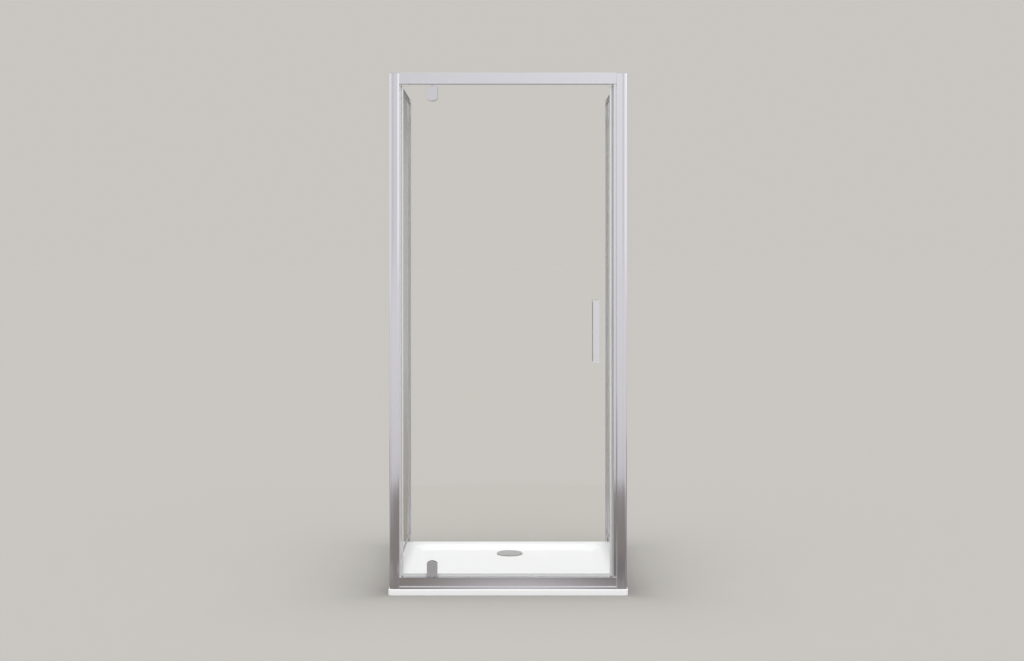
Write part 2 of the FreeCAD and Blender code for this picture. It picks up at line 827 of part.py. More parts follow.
def jamb_screws():
    screws = []
    shank = "Sizes.jamb_wall + Sizes.slide_gap + Sizes.post_wall + Sizes.jamb_screw_tip"
    for side in MIRROR:
        for place in jamb_screw_places(side):
            screws.append(
                screw(
                    "jamb_screw",
                    "-y",
                    place,
                    "Sizes.jamb_screw_head_radius",
                    "Sizes.jamb_screw_head_height",
                    "Sizes.jamb_screw_radius",
                    shank,
                )
            )
    label(grouped("jamb_screw_set", screws), "jamb_screws")


# Strips on the doorway's two sides. The strike side's strips are stacked from the jamb towards the door.


DOORWAY_BOTTOM = height(THRESHOLD_TOP)
DOORWAY_HEIGHT = f"{HEADER_FOOT} - {THRESHOLD_TOP}"
JAMB_SEAL_FACE = f"({LEFT_FACE} + Sizes.jamb_seal_thickness)"
HINGE_SEAL_FACE = f"({JAMB_SEAL_FACE} + Sizes.door_edge_gap)"
GLASS_LEFT = f"({HINGE_SEAL_FACE} + Sizes.edge_profile_base)"
STRIKE_BACK = f"({RIGHT_FACE} - Sizes.strike_neck)"
STRIKE_FACE = f"({STRIKE_BACK} - Sizes.strike_profile)"
STRIKE_MAGNET_FACE = f"({STRIKE_FACE} - Sizes.magnet_thickness)"
DOOR_MAGNET_FACE = f"({STRIKE_MAGNET_FACE} - Sizes.magnet_gap)"
CLOSING_FACE = f"({DOOR_MAGNET_FACE} - Sizes.magnet_thickness)"
GLASS_RIGHT = f"({CLOSING_FACE} - Sizes.edge_profile_base)"
PIVOT = "(Sizes.pivot_from_left - Sizes.frame_width / 2)"


def beside_door(width):
    """Y on the front and on the back of something centred on the door's glass."""
    return f"({DOOR} - {width} / 2)", f"({DOOR} + {width} / 2)"


def doorway_strips():
    seal = rectangle(LEFT_FACE, JAMB_SEAL_FACE, *beside_door("Sizes.jamb_seal_width"))
    label(extrusion("jamb_strip", "plan", DOORWAY_BOTTOM, DOORWAY_HEIGHT, [seal]), "jamb_seal_strip")

    front, back = beside_door("Sizes.strike_profile_width")
    neck_front, neck_back = beside_door("Sizes.strike_neck_width")
    carrier = [
        (STRIKE_FACE, front),
        (STRIKE_BACK, front),
        (STRIKE_BACK, neck_front),
        (RIGHT_FACE, neck_front),
        (RIGHT_FACE, neck_back),
        (STRIKE_BACK, neck_back),
        (STRIKE_BACK, back),
        (STRIKE_FACE, back),
    ]
    label(extrusion("strike_carrier", "plan", DOORWAY_BOTTOM, DOORWAY_HEIGHT, [carrier]), "strike_profile")

    magnet = rectangle(STRIKE_MAGNET_FACE, STRIKE_FACE, *beside_door("Sizes.magnet_width"))
    label(extrusion("strike_strip", "plan", DOORWAY_BOTTOM, DOORWAY_HEIGHT, [magnet]), "strike_magnet")


# Door leaf


GLASS_TOP = f"({HEADER_FOOT} - Sizes.door_top_gap)"
GLASS_FOOT = f"({THRESHOLD_TOP} + Sizes.door_bottom_gap)"
TOP_CLAMP_TOP = f"({HEADER_FOOT} - Sizes.top_clamp_gap)"
BOTTOM_CLAMP_FOOT = f"({THRESHOLD_TOP} + Sizes.bottom_clamp_gap)"
TOP_BLOCK_FOOT = f"({TOP_CLAMP_TOP} - Sizes.pin_block_height)"
BOTTOM_BLOCK_TOP = f"({BOTTOM_CLAMP_FOOT} + Sizes.pin_block_height)"
CLAMP_INNER = "(Sizes.door_glass / 2 + Sizes.clamp_gasket)"
CLAMP_OUTER = f"({CLAMP_INNER} + Sizes.clamp_thickness)"
CLAMP_SCREW_LEVELS = {
    "top": f"({TOP_BLOCK_FOOT} - Sizes.clamp_screw_from_block)",
    "bottom": f"({BOTTOM_BLOCK_TOP} + Sizes.clamp_screw_from_block)",
}
HANDLE_X = inward("right", "Sizes.handle_from_right")
HANDLE_RIM = "((Sizes.handle_length - Sizes.handle_end_height) / 2)"
HANDLE_LEVELS = {
    "top": f"(Sizes.handle_height + {HANDLE_RIM})",
    "bottom": f"(Sizes.handle_height - {HANDLE_RIM})",
}


def clamp_screw_spots(end):
    """X and Z of a clamp's two screws."""
    level = height(CLAMP_SCREW_LEVELS[end])
    reach = "Sizes.clamp_screw_spread / 2"
    return [(f"{PIVOT} - {reach}", level), (f"{PIVOT} + {reach}", level)]


def door_glass():
    notch = "(Sizes.pin_block_width / 2 + Sizes.notch_gap)"
    notch_left, notch_right = f"{PIVOT} - {notch}", f"{PIVOT} + {notch}"
    low, high = height(GLASS_FOOT), height(GLASS_TOP)
    low_notch = height(f"{BOTTOM_BLOCK_TOP} + Sizes.notch_gap")
    high_notch = height(f"{TOP_BLOCK_FOOT} - Sizes.notch_gap")
    outline = [
        (GLASS_LEFT, low),
        (notch_left, low),
        (notch_left, low_notch),
        (notch_right, low_notch),
        (notch_right, low),
        (GLASS_RIGHT, low),
        (GLASS_RIGHT, high),
        (notch_right, high),
        (notch_right, high_notch),
        (notch_left, high_notch),
        (notch_left, high),
        (GLASS_LEFT, high),
    ]
    circles = []
    for end in ("top", "bottom"):
        for x, z in clamp_screw_spots(end):
            circles.append((x, z, "Sizes.clamp_hole_in_glass"))
        circles.append((HANDLE_X, height(HANDLE_LEVELS[end]), "Sizes.handle_hole_in_glass"))
    back = beside_door("Sizes.door_glass")[1]
    label(extrusion("leaf", "front", back, "Sizes.door_glass", [outline], circles), "door_glass")


def edge_profile(name, edge, base_face, cover, end_low, end_high):
    """A U along a side edge of the glass: edge is the glass's edge and cover the U's reach over it."""
    wide = beside_door("(Sizes.door_glass + 2 * Sizes.edge_profile_wall)")
    slot = beside_door("Sizes.door_glass")
    ring = [
        (base_face, wide[0]),
        (cover, wide[0]),
        (cover, slot[0]),
        (edge, slot[0]),
        (edge, slot[1]),
        (cover, slot[1]),
        (cover, wide[1]),
        (base_face, wide[1]),
    ]
    return extrusion(name, "plan", height(end_low), f"{end_high} - {end_low}", [ring])


def door_seals():
    cover = f"({GLASS_LEFT} + Sizes.hinge_seal_cover)"
    seal = edge_profile("hinge_edge", GLASS_LEFT, HINGE_SEAL_FACE, cover, GLASS_FOOT, GLASS_TOP)
    label(seal, "door_hinge_seal")

    cover = f"({GLASS_RIGHT} - Sizes.closing_profile_cover)"
    profile = edge_profile("closing_edge", GLASS_RIGHT, CLOSING_FACE, cover, GLASS_FOOT, GLASS_TOP)
    label(profile, "door_closing_profile")

    magnet = rectangle(CLOSING_FACE, DOOR_MAGNET_FACE, *beside_door("Sizes.magnet_width"))
    strip = extrusion("closing_strip", "plan", height(GLASS_FOOT), f"{GLASS_TOP} - {GLASS_FOOT}", [magnet])
    label(strip, "door_magnet")

    foot = f"({THRESHOLD_TOP} + Sizes.bottom_seal_lift)"
    crest = f"({GLASS_FOOT} + Sizes.bottom_seal_cover)"
    wide = beside_door("(Sizes.door_glass + 2 * Sizes.bottom_seal_wall)")
    slot = beside_door("Sizes.door_glass")
    ring = [
        (wide[0], height(foot)),
        (wide[1], height(foot)),
        (wide[1], height(crest)),
        (slot[1], height(crest)),
        (slot[1], height(GLASS_FOOT)),
        (slot[0], height(GLASS_FOOT)),
        (slot[0], height(crest)),
        (wide[0], height(crest)),
    ]
    clamp_left = f"({PIVOT} - Sizes.clamp_width / 2 - Sizes.bottom_seal_end_gap)"
    clamp_right = f"({PIVOT} + Sizes.clamp_width / 2 + Sizes.bottom_seal_end_gap)"
    left_end = f"({GLASS_LEFT} + Sizes.hinge_seal_cover)"
    right_end = f"({GLASS_RIGHT} - Sizes.closing_profile_cover)"
    short = extrusion("short_seal", "side", left_end, f"{clamp_left} - {left_end}", [ring])
    long = extrusion("long_seal", "side", clamp_right, f"{right_end} - {clamp_right}", [ring])
    label(grouped("bottom_seals", [short, long]), "door_bottom_seal")


# Pivots: a flat-sided pin in a notch of the glass, held between two clamp plates


def bush(name, end):
    """A flanged bush: the flange lies on the inner or upper face of the rail's wall."""
    if end == "top":
        direction, seat = "+z", height(f"{HEADER_FOOT} + Sizes.rail_wall")
        sleeve = height(HEADER_FOOT)
    else:
        direction, seat = "-z", height(f"{THRESHOLD_TOP} + Sizes.bush_flange_thickness")
        sleeve = seat
    thickness = "Sizes.bush_flange_thickness"
    flange = rod(name + "_flange", direction, (PIVOT, DOOR, seat), "Sizes.bush_flange_radius", thickness)
    body = rod(name + "_sleeve", direction, (PIVOT, DOOR, sleeve), "Sizes.bush_radius", "Sizes.bush_length")
    start = {"top": f"{sleeve} - {OVERRUN}", "bottom": f"{sleeve} + {OVERRUN}"}[end]
    through = f"Sizes.bush_length + 2 * {OVERRUN}"
    bore = rod(name + "_bore", direction, (PIVOT, DOOR, start), "Sizes.pin_radius + Sizes.pin_fit", through)
    return cut(name, fused(name + "_solid", [flange, body]), [bore])


def pin_block(low, high):
    half = "Sizes.pin_block_width / 2"
    front, back = beside_door("Sizes.pin_block_depth")
    return block("pin_block", f"{PIVOT} - {half}", f"{PIVOT} + {half}", front, back, low, high)


def pivot_pins():
    top = height(TOP_CLAMP_TOP)
    reach = "Sizes.top_clamp_gap + Sizes.pin_length_in_bush"
    stub = rod("top_stub", "+z", (PIVOT, DOOR, top), "Sizes.pin_radius", reach)
    pin = fused("top_pin", [pin_block(height(TOP_BLOCK_FOOT), top), stub])
    label(pin, "top_pivot_pin")

    foot = height(BOTTOM_CLAMP_FOOT)
    shoulder_length = "(Sizes.bottom_clamp_gap - Sizes.bush_flange_thickness - Sizes.pivot_play)"
    shoulder = rod("bottom_shoulder", "-z", (PIVOT, DOOR, foot), "Sizes.pin_shoulder_radius", shoulder_length)
    reach = "Sizes.bottom_clamp_gap + Sizes.pin_length_in_bush"
    stub = rod("bottom_stub", "-z", (PIVOT, DOOR, foot), "Sizes.pin_radius", reach)
    pin = fused("bottom_pin", [pin_block(foot, height(BOTTOM_BLOCK_TOP)), shoulder, stub])
    label(pin, "bottom_pivot_pin")


def pivot_bushes():
    label(bush("header_bush", "top"), "top_pivot_bush")
    label(bush("threshold_bush", "bottom"), "bottom_pivot_bush")


CLAMP_FLAT = {"top": TOP_CLAMP_TOP, "bottom": BOTTOM_CLAMP_FOOT}
CLAMP_SIDE = {
    "top": f"({TOP_CLAMP_TOP} - Sizes.top_clamp_side)",
    "bottom": f"({BOTTOM_CLAMP_FOOT} + Sizes.bottom_clamp_side)",
}
CLAMP_BOW = "((Sizes.clamp_width ^ 2 / 4 + Sizes.clamp_sag ^ 2) / (2 * Sizes.clamp_sag))"


def draw_clamp(sketch, end):
    """A plate with one bowed edge: flat at the rail, bowed outward towards the middle of the glass."""
    half = "Sizes.clamp_width / 2"
    flat, side = height(CLAMP_FLAT[end]), height(CLAMP_SIDE[end])
    corners = [
        (f"{PIVOT} - {half}", side),
        (f"{PIVOT} - {half}", flat),
        (f"{PIVOT} + {half}", flat),
        (f"{PIVOT} + {half}", side),
    ]
    spots = [FreeCAD.Vector(value(x), value(z), 0) for x, z in corners]
    for index in range(3):
        sketch.addGeometry(Part.LineSegment(spots[index], spots[index + 1]), False)
    radius, reach = value(CLAMP_BOW), value(half)
    sweep = math.asin(reach / radius)
    rise = radius * math.cos(sweep)
    if end == "top":
        centre, middle, points = rise, -math.pi / 2, (2, 1)
    else:
        centre, middle, points = -rise, math.pi / 2, (1, 2)
    hub = FreeCAD.Vector(value(PIVOT), spots[0].y + centre, 0)
    circle = Part.Circle(hub, FreeCAD.Vector(0, 0, 1), radius)
    bow = sketch.addGeometry(Part.ArcOfCircle(circle, middle - sweep, middle + sweep), False)
    sketch.addConstraint(Sketcher.Constraint("Coincident", 0, 2, 1, 1))
    sketch.addConstraint(Sketcher.Constraint("Coincident", 1, 2, 2, 1))
    sketch.addConstraint(Sketcher.Constraint("Coincident", 2, 2, bow, points[0]))
    sketch.addConstraint(Sketcher.Constraint("Coincident", bow, points[1], 0, 1))
    for index, (x, z) in enumerate(corners[:3]):
        tie(sketch, "DistanceX", index, 1, x)
        tie(sketch, "DistanceY", index, 1, z)
    tie(sketch, "DistanceX", 2, 2, corners[3][0])
    tie(sketch, "DistanceY", 2, 2, corners[3][1])
    index = sketch.addConstraint(Sketcher.Constraint("Radius", bow, value(CLAMP_BOW)))
    sketch.setExpression(f"Constraints[{index}]", CLAMP_BOW)


def clamp_plate(end, face):
    """One of the two plates: the outer one is tapped, the inner one takes the screws' heads."""
    name = f"{end}_clamp_{face}"
    body = new_body(name + "_plate")
    near, far = CLAMP_INNER, CLAMP_OUTER
    rear = f"{DOOR} - {near}" if face == "outer" else f"{DOOR} + {far}"
    sketch = new_sketch(body, name + "_outline", "front", rear)
    draw_clamp(sketch, end)
    plate = pad(body, sketch, "Sizes.clamp_thickness")
    through = value("Sizes.clamp_thickness") - NEAR
    softened = rounded(
        body,
        plate,
        lambda edge: edge.BoundBox.YLength > through,
        "Sizes.clamp_corner_radius",
    )
    shown = value(f"{DOOR} - {far}" if face == "outer" else f"{DOOR} + {far}")

    def on_shown_face(edge):
        box = edge.BoundBox
        return abs(box.YMin - shown) < NEAR and abs(box.YMax - shown) < NEAR

    rounded(body, softened, on_shown_face, "Sizes.clamp_edge_radius")

    gap = "Sizes.pin_block_gap"
    half = f"(Sizes.pin_block_width / 2 + {gap})"
    front, back = beside_door(f"(Sizes.pin_block_depth + 2 * {gap})")
    low, high = {
        "top": (f"{TOP_BLOCK_FOOT} - {gap}", f"{TOP_CLAMP_TOP} + {OVERRUN}"),
        "bottom": (f"{BOTTOM_CLAMP_FOOT} - {OVERRUN}", f"{BOTTOM_BLOCK_TOP} + {gap}"),
    }[end]
    sides = (f"{PIVOT} - {half}", f"{PIVOT} + {half}")
    tools = [block("pin_pocket", *sides, front, back, height(low), height(high))]
    radius = "Sizes.clamp_screw_radius + Sizes.screw_fit"
    for x, z in clamp_screw_spots(end):
        if face == "outer":
            start = (x, f"{DOOR} - {near} + {OVERRUN}", z)
            reach = f"{OVERRUN} + Sizes.clamp_screw_bite + Sizes.blind_hole_extra"
            tools.append(rod("tapped", "-y", start, radius, reach))
        else:
            tools.append(rod("shank_hole", "+y", (x, DOOR, z), radius, far))
            sunk = "(Sizes.clamp_screw_head_height + Sizes.clamp_head_gap)"
            wide = "Sizes.clamp_screw_head_radius + Sizes.clamp_head_gap"
            start = (x, f"{DOOR} + {far} - {sunk}", z)
            tools.append(rod("head_hole", "+y", start, wide, f"{sunk} + {OVERRUN}"))
    label(cut(name + "_cut", body, tools), name)


def clamp_screws():
    screws = []
    seat = f"{DOOR} + {CLAMP_OUTER} - Sizes.clamp_screw_head_height - Sizes.clamp_head_gap"
    shank = (
        f"{CLAMP_OUTER} - Sizes.clamp_screw_head_height - Sizes.clamp_head_gap"
        f" + {CLAMP_INNER} + Sizes.clamp_screw_bite"
    )
    for end in ("top", "bottom"):
        for x, z in clamp_screw_spots(end):
            screws.append(
                screw(
                    "clamp_screw",
                    "-y",
                    (x, seat, z),
                    "Sizes.clamp_screw_head_radius",
                    "Sizes.clamp_screw_head_height",
                    "Sizes.clamp_screw_radius",
                    shank,
                )
            )
    label(grouped("clamp_screw_set", screws), "clamp_screws")


def clamp_gaskets(end):
    """Two thin pads between the glass and the plates, notched round the pin."""
    inset = "Sizes.clamp_gasket_inset"
    half = f"(Sizes.clamp_width / 2 - {inset})"
    notch = "(Sizes.pin_block_width / 2 + Sizes.notch_gap)"
    if end == "top":
        edge = f"(min({CLAMP_FLAT[end]}; {GLASS_TOP}) - {inset})"
        notch_end = f"({TOP_BLOCK_FOOT} - Sizes.notch_gap)"
    else:
        edge = f"(max({CLAMP_FLAT[end]}; {GLASS_FOOT}) + {inset})"
        notch_end = f"({BOTTOM_BLOCK_TOP} + Sizes.notch_gap)"
    far = CLAMP_SIDE[end]
    ring = [
        (f"{PIVOT} - {half}", height(far)),
        (f"{PIVOT} - {half}", height(edge)),
        (f"{PIVOT} - {notch}", height(edge)),
        (f"{PIVOT} - {notch}", height(notch_end)),
        (f"{PIVOT} + {notch}", height(notch_end)),
        (f"{PIVOT} + {notch}", height(edge)),
        (f"{PIVOT} + {half}", height(edge)),
        (f"{PIVOT} + {half}", height(far)),
    ]
    circles = [(x, z, "Sizes.clamp_hole_in_glass") for x, z in clamp_screw_spots(end)]
    pads = []
    for rear in (f"{DOOR} - Sizes.door_glass / 2", f"{DOOR} + {CLAMP_INNER}"):
        pads.append(extrusion(f"{end}_pad", "front", rear, "Sizes.clamp_gasket", [ring], circles))
    label(grouped(f"{end}_pads", pads), f"{end}_clamp_gaskets")


# Handle: a grip on each side of the glass, between end brackets that two through studs draw together


GLASS_FACE = "(Sizes.door_glass / 2)"
BRACKET_FOOT = f"({GLASS_FACE} + Sizes.handle_washer)"


def either_face(face, near, far):
    """Y from a near and a far distance off the glass's middle, in front of the door or behind it."""
    if face == "outer":
        return f"({DOOR} - {far})", f"({DOOR} - {near})"
    return f"({DOOR} + {near})", f"({DOOR} + {far})"


def handle_bracket(face, end):
    half = "(Sizes.handle_width / 2 + Sizes.handle_end_overhang)"
    rise = "(Sizes.handle_end_height / 2)"
    level = height(HANDLE_LEVELS[end])
    far = f"({GLASS_FACE} + Sizes.{face}_handle_reach)"
    front, back = either_face(face, BRACKET_FOOT, far)
    body = extrusion(
        f"{face}_{end}_bracket",
        "side",
        f"{HANDLE_X} - {half}",
        f"2 * {half}",
        [rectangle(front, back, f"{level} - {rise}", f"{level} + {rise}")],
    )
    radius = "Sizes.handle_stud_radius + Sizes.screw_fit"
    direction = "-y" if face == "outer" else "+y"
    length = f"{BRACKET_FOOT} + Sizes.handle_stud_bite + Sizes.blind_hole_extra"
    hole = rod("stud_hole", direction, (HANDLE_X, DOOR, level), radius, length)
    name = f"handle_{face}_{end}_bracket"
    label(cut(name + "_cut", body, [hole]), name)


def handle_grip(face):
    half = "Sizes.handle_width / 2"
    span = "(Sizes.handle_length - 2 * Sizes.handle_end_height)"
    far = f"({GLASS_FACE} + Sizes.{face}_handle_reach)"
    front, back = either_face(face, f"({far} - Sizes.handle_grip_thickness)", far)
    body = new_body(f"{face}_grip")
    bottom = height(f"Sizes.handle_height - {span} / 2")
    sketch = new_sketch(body, f"{face}_grip_section", "plan", bottom)
    draw_ring(sketch, rectangle(f"{HANDLE_X} - {half}", f"{HANDLE_X} + {half}", front, back))
    bar = pad(body, sketch, span)
    full = value(span)
    rounded(body, bar, lambda edge: edge.BoundBox.ZLength > full - NEAR, "Sizes.handle_grip_radius")
    label(body, f"handle_{face}_grip")


def handle_fixings():
    studs, washers = [], []
    half = "(Sizes.handle_width / 2 - Sizes.handle_washer_inset)"
    rise = "(Sizes.handle_end_height / 2 - Sizes.handle_washer_inset / 2)"
    for end in ("top", "bottom"):
        level = height(HANDLE_LEVELS[end])
        start = f"{DOOR} - {BRACKET_FOOT} - Sizes.handle_stud_bite"
        length = f"2 * ({BRACKET_FOOT} + Sizes.handle_stud_bite)"
        studs.append(rod("handle_stud", "+y", (HANDLE_X, start, level), "Sizes.handle_stud_radius", length))
        for face in ("outer", "inner"):
            front, back = either_face(face, GLASS_FACE, BRACKET_FOOT)
            pad_block = block(
                "washer_pad",
                f"{HANDLE_X} - {half}",
                f"{HANDLE_X} + {half}",
                front,
                back,
                f"{level} - {rise}",
                f"{level} + {rise}",
            )
            start = (HANDLE_X, f"{front} - {OVERRUN}", level)
            radius = "Sizes.handle_stud_radius + Sizes.screw_fit"
            hole = rod("washer_hole", "+y", start, radius, f"Sizes.handle_washer + 2 * {OVERRUN}")
            washers.append(cut("washer", pad_block, [hole]))
    label(grouped("handle_stud_set", studs), "handle_studs")
    label(grouped("handle_washer_set", washers), "handle_washers")


# Side panels: glass in a gasket in a frame of channels, between the corner post and a channel on the wall


STILE_FRONT = f"({CHANNEL_BACK} + Sizes.channel_wall + Sizes.slide_gap)"
FRONT_STILE = (depth(STILE_FRONT), depth(f"{STILE_FRONT} + Sizes.stile_depth"))
STILE_REAR = f"({WALL} - Sizes.channel_wall - Sizes.wall_adjustment)"
REAR_STILE = (f"({STILE_REAR} - Sizes.stile_depth)", STILE_REAR)
PANEL_SLOT = "(Sizes.top_rail_height - Sizes.panel_wall)"
GASKET_FOOT = f"(Sizes.bottom_rail_height - {PANEL_SLOT})"
GASKET_TOP = f"({POST_TOP} - Sizes.panel_wall)"


def channel_plan(side, web, lips, outer, inner, wall):
    """A U seen from above: web is the Y of its closed face and lips the Y of its open edges."""
    sign = "+" if value(lips) > value(web) else "-"
    floor = f"({web} {sign} {wall})"
    across = [inward(side, term) for term in (outer, f"{outer} + {wall}", f"{inner} - {wall}", inner)]
    return [
        (across[0], web),
        (across[3], web),
        (across[3], lips),
        (across[2], lips),
        (across[2], floor),
        (across[1], floor),
        (across[1], lips),
        (across[0], lips),
    ]


def panel_stiles(side):
    wall = "Sizes.panel_wall"
    stiles = {"front": (FRONT_STILE[0], FRONT_STILE[1]), "rear": (REAR_STILE[1], REAR_STILE[0])}
    for (name, (web, lips)), places in zip(stiles.items(), panel_screw_places(side)):
        ring = channel_plan(side, web, lips, PANEL_OUTER, PANEL_INNER, wall)
        stile = extrusion(f"{name}_stile_{side}", "plan", "Sizes.tray_height", POST_TOP, [ring])
        holes = panel_screw_holes(side, places)
        label(cut(f"{name}_{side}", stile, holes), f"panel_{name}_stile_{side}")


def panel_rails(side):
    wall = "Sizes.panel_wall"
    outer, inner = inward(side, PANEL_OUTER), inward(side, PANEL_INNER)
    slot_outer = inward(side, f"{PANEL_OUTER} + {wall}")
    slot_inner = inward(side, f"{PANEL_INNER} - {wall}")
    low, high = FRONT_STILE[1], REAR_STILE[0]
    foot = height(f"{POST_TOP} - Sizes.top_rail_height")
    top_ring = [
        (outer, height(POST_TOP)),
        (inner, height(POST_TOP)),
        (inner, foot),
        (slot_inner, foot),
        (slot_inner, height(GASKET_TOP)),
        (slot_outer, height(GASKET_TOP)),
        (slot_outer, foot),
        (outer, foot),
    ]
    rail = extrusion(f"top_rail_{side}", "front", high, f"{high} - {low}", [top_ring])
    label(rail, f"panel_top_rail_{side}")

    crest = height("Sizes.bottom_rail_height")
    bottom_ring = [
        (outer, height("0")),
        (inner, height("0")),
        (inner, crest),
        (slot_inner, crest),
        (slot_inner, height(GASKET_FOOT)),
        (slot_outer, height(GASKET_FOOT)),
        (slot_outer, crest),
        (outer, crest),
    ]
    void = [
        (slot_outer, height(wall)),
        (slot_inner, height(wall)),
        (slot_inner, height(f"{GASKET_FOOT} - {wall}")),
        (slot_outer, height(f"{GASKET_FOOT} - {wall}")),
    ]
    rail = extrusion(f"bottom_rail_{side}", "front", high, f"{high} - {low}", [bottom_ring, void])
    label(rail, f"panel_bottom_rail_{side}")


def span_across(side, outer, inner):
    return sorted((inward(side, outer), inward(side, inner)), key=value)


def panel_glazing(side):
    wall, gasket = "Sizes.panel_wall", "Sizes.panel_gasket"
    outer, inner = f"({PANEL_OUTER} + {wall})", f"({PANEL_INNER} - {wall})"
    front, rear = f"({FRONT_STILE[0]} + {wall})", f"({REAR_STILE[1]} - {wall})"
    glass_front, glass_rear = f"({front} + {gasket})", f"({rear} - {gasket})"
    glass_foot, glass_top = f"({GASKET_FOOT} + {gasket})", f"({GASKET_TOP} - {gasket})"
    thickness = span_across(side, f"{outer} + {gasket}", f"{inner} - {gasket}")

    pane = [glass_front, glass_rear, height(glass_foot), height(glass_top)]
    label(block("side_pane", *thickness, *pane), f"side_glass_{side}")

    width = span_across(side, outer, inner)
    whole = block("gasket_whole", *width, front, rear, height(GASKET_FOOT), height(GASKET_TOP))
    groove = block("gasket_groove", *thickness, *pane)
    beyond = span_across(side, f"{outer} - {OVERRUN}", f"{inner} + {OVERRUN}")
    window = block(
        "gasket_window",
        *beyond,
        FRONT_STILE[1],
        REAR_STILE[0],
        height("Sizes.bottom_rail_height"),
        height(f"{POST_TOP} - Sizes.top_rail_height"),
    )
    label(cut(f"gasket_{side}", whole, [groove, window]), f"glazing_gasket_{side}")


def wall_channel(side):
    web, lips = WALL, f"({WALL} - Sizes.wall_channel_depth)"
    ring = channel_plan(side, web, lips, "0", CHANNEL_WIDTH, "Sizes.channel_wall")
    channel = extrusion(f"wall_profile_{side}", "plan", "Sizes.tray_height", POST_TOP, [ring])
    tools = panel_screw_holes(side, panel_screw_places(side)[1])
    x = inward(side, PANEL_MIDDLE)
    for z in spread("wall_hole_end", WALL_HOLE_COUNT):
        place = (x, f"{WALL} - Sizes.channel_wall - {OVERRUN}", z)
        through = f"Sizes.channel_wall + 2 * {OVERRUN}"
        tools.append(rod("wall_hole", "+y", place, "Sizes.wall_hole_radius", through))
    label(cut(f"wall_channel_cut_{side}", channel, tools), f"wall_channel_{side}")


def panel_screws(side):
    screws = []
    front, rear = panel_screw_places(side)
    for place in front + rear:
        screws.append(
            screw(
                "panel_screw",
                away(side),
                place,
                "Sizes.panel_screw_head_radius",
                "Sizes.panel_screw_head_height",
                "Sizes.panel_screw_radius",
                "Sizes.channel_wall + Sizes.slide_gap + Sizes.panel_wall",
            )
        )
    label(grouped(f"panel_screw_set_{side}", screws), f"panel_screws_{side}")


shower_tray()
waste()
header_rail()
threshold_rail()
frame_screws()
jamb_screws()
doorway_strips()
door_glass()
door_seals()
pivot_pins()
pivot_bushes()
for end in ("top", "bottom"):
    clamp_plate(end, "outer")
    clamp_plate(end, "inner")
    clamp_gaskets(end)
clamp_screws()
for face in ("outer", "inner"):
    handle_grip(face)
    handle_bracket(face, "top")
    handle_bracket(face, "bottom")
handle_fixings()
for side in MIRROR:
    corner_post(side)
    door_jamb(side)
    post_cap(side)
    panel_stiles(side)
    panel_rails(side)
    panel_glazing(side)
    wall_channel(side)
    panel_screws(side)
doc.recompute()

for item in doc.Objects:
    bad = {"Invalid", "Error"} & set(item.State)
    assert not bad, f"{item.Label}: {item.State}"
for piece in subparts:
    shape = piece.Shape
    assert not shape.isNull() and shape.isValid(), piece.Label
    assert shape.Solids, piece.Label

os.makedirs("parts", exist_ok=True)
for piece in subparts:
    piece.Shape.exportStep(f"parts/{piece.Label}.step")
    print(f"{piece.Label}: {len(piece.Shape.Solids)} solid(s), {piece.Shape.Volume / 1000:.2f} cm3")
print(len(subparts), "nodes")
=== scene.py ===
import json
import math

import bmesh
import bpy
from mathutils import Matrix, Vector


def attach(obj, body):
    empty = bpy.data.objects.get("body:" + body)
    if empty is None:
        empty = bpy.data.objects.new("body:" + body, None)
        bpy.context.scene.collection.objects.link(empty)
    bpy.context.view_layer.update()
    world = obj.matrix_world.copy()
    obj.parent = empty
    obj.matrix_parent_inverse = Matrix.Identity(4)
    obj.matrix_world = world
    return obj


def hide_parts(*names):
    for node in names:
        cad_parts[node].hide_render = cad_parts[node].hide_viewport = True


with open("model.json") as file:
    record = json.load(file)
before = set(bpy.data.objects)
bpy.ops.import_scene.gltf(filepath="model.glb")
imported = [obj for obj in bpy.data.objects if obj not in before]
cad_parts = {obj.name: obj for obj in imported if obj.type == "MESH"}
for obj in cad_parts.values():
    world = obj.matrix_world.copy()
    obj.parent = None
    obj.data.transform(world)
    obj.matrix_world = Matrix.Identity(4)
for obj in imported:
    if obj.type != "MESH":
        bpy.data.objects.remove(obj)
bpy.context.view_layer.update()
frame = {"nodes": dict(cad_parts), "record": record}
scene = bpy.context.scene

# Camera, found from the photograph's vanishing point and the sizes of the frame's front.

cameraView = {
    "place": (0.0, -5.705, 1.261),
    "turn": (90, 0, 0),
    "lens": 49.27,
    "sensor": 36.0,
    "shiftX": 0.0037,
    "shiftY": -0.0696,
    "farthest": 500,
}


def addCamera(view):
    data = bpy.data.cameras.new("camera")
    data.lens = view["lens"]
    data.sensor_width = view["sensor"]
    data.shift_x = view["shiftX"]
    data.shift_y = view["shiftY"]
    data.clip_end = view["farthest"]
    camera = bpy.data.objects.new("camera", data)
    camera.location = view["place"]
    camera.rotation_euler = [math.radians(turn) for turn in view["turn"]]
    scene.collection.objects.link(camera)
    scene.camera = camera


addCamera(cameraView)
print("camera done")


# Node helpers. A value given to one is either a number, a tuple or the socket to link.


def clearedTree(owner):
    owner.use_nodes = True
    owner.node_tree.nodes.clear()
    return owner.node_tree


def addNode(tree, kind, **values):
    node = tree.nodes.new(kind)
    for name, value in values.items():
        setattr(node, name, value)
    return node


def link(tree, source, target):
    tree.links.new(source, target)


def mathNode(tree, operation, *values):
    node = addNode(tree, "ShaderNodeMath", operation=operation)
    for socket, value in zip(node.inputs, values):
        if isinstance(value, (int, float)):
            socket.default_value = value
        else:
            link(tree, value, socket)
    return node.outputs[0]


def multiplyVectors(tree, first, second):
    node = addNode(tree, "ShaderNodeVectorMath", operation="MULTIPLY")
    link(tree, first, node.inputs[0])
    if isinstance(second, tuple):
        node.inputs[1].default_value = second
    else:
        link(tree, second, node.inputs[1])
    return node.outputs["Vector"]


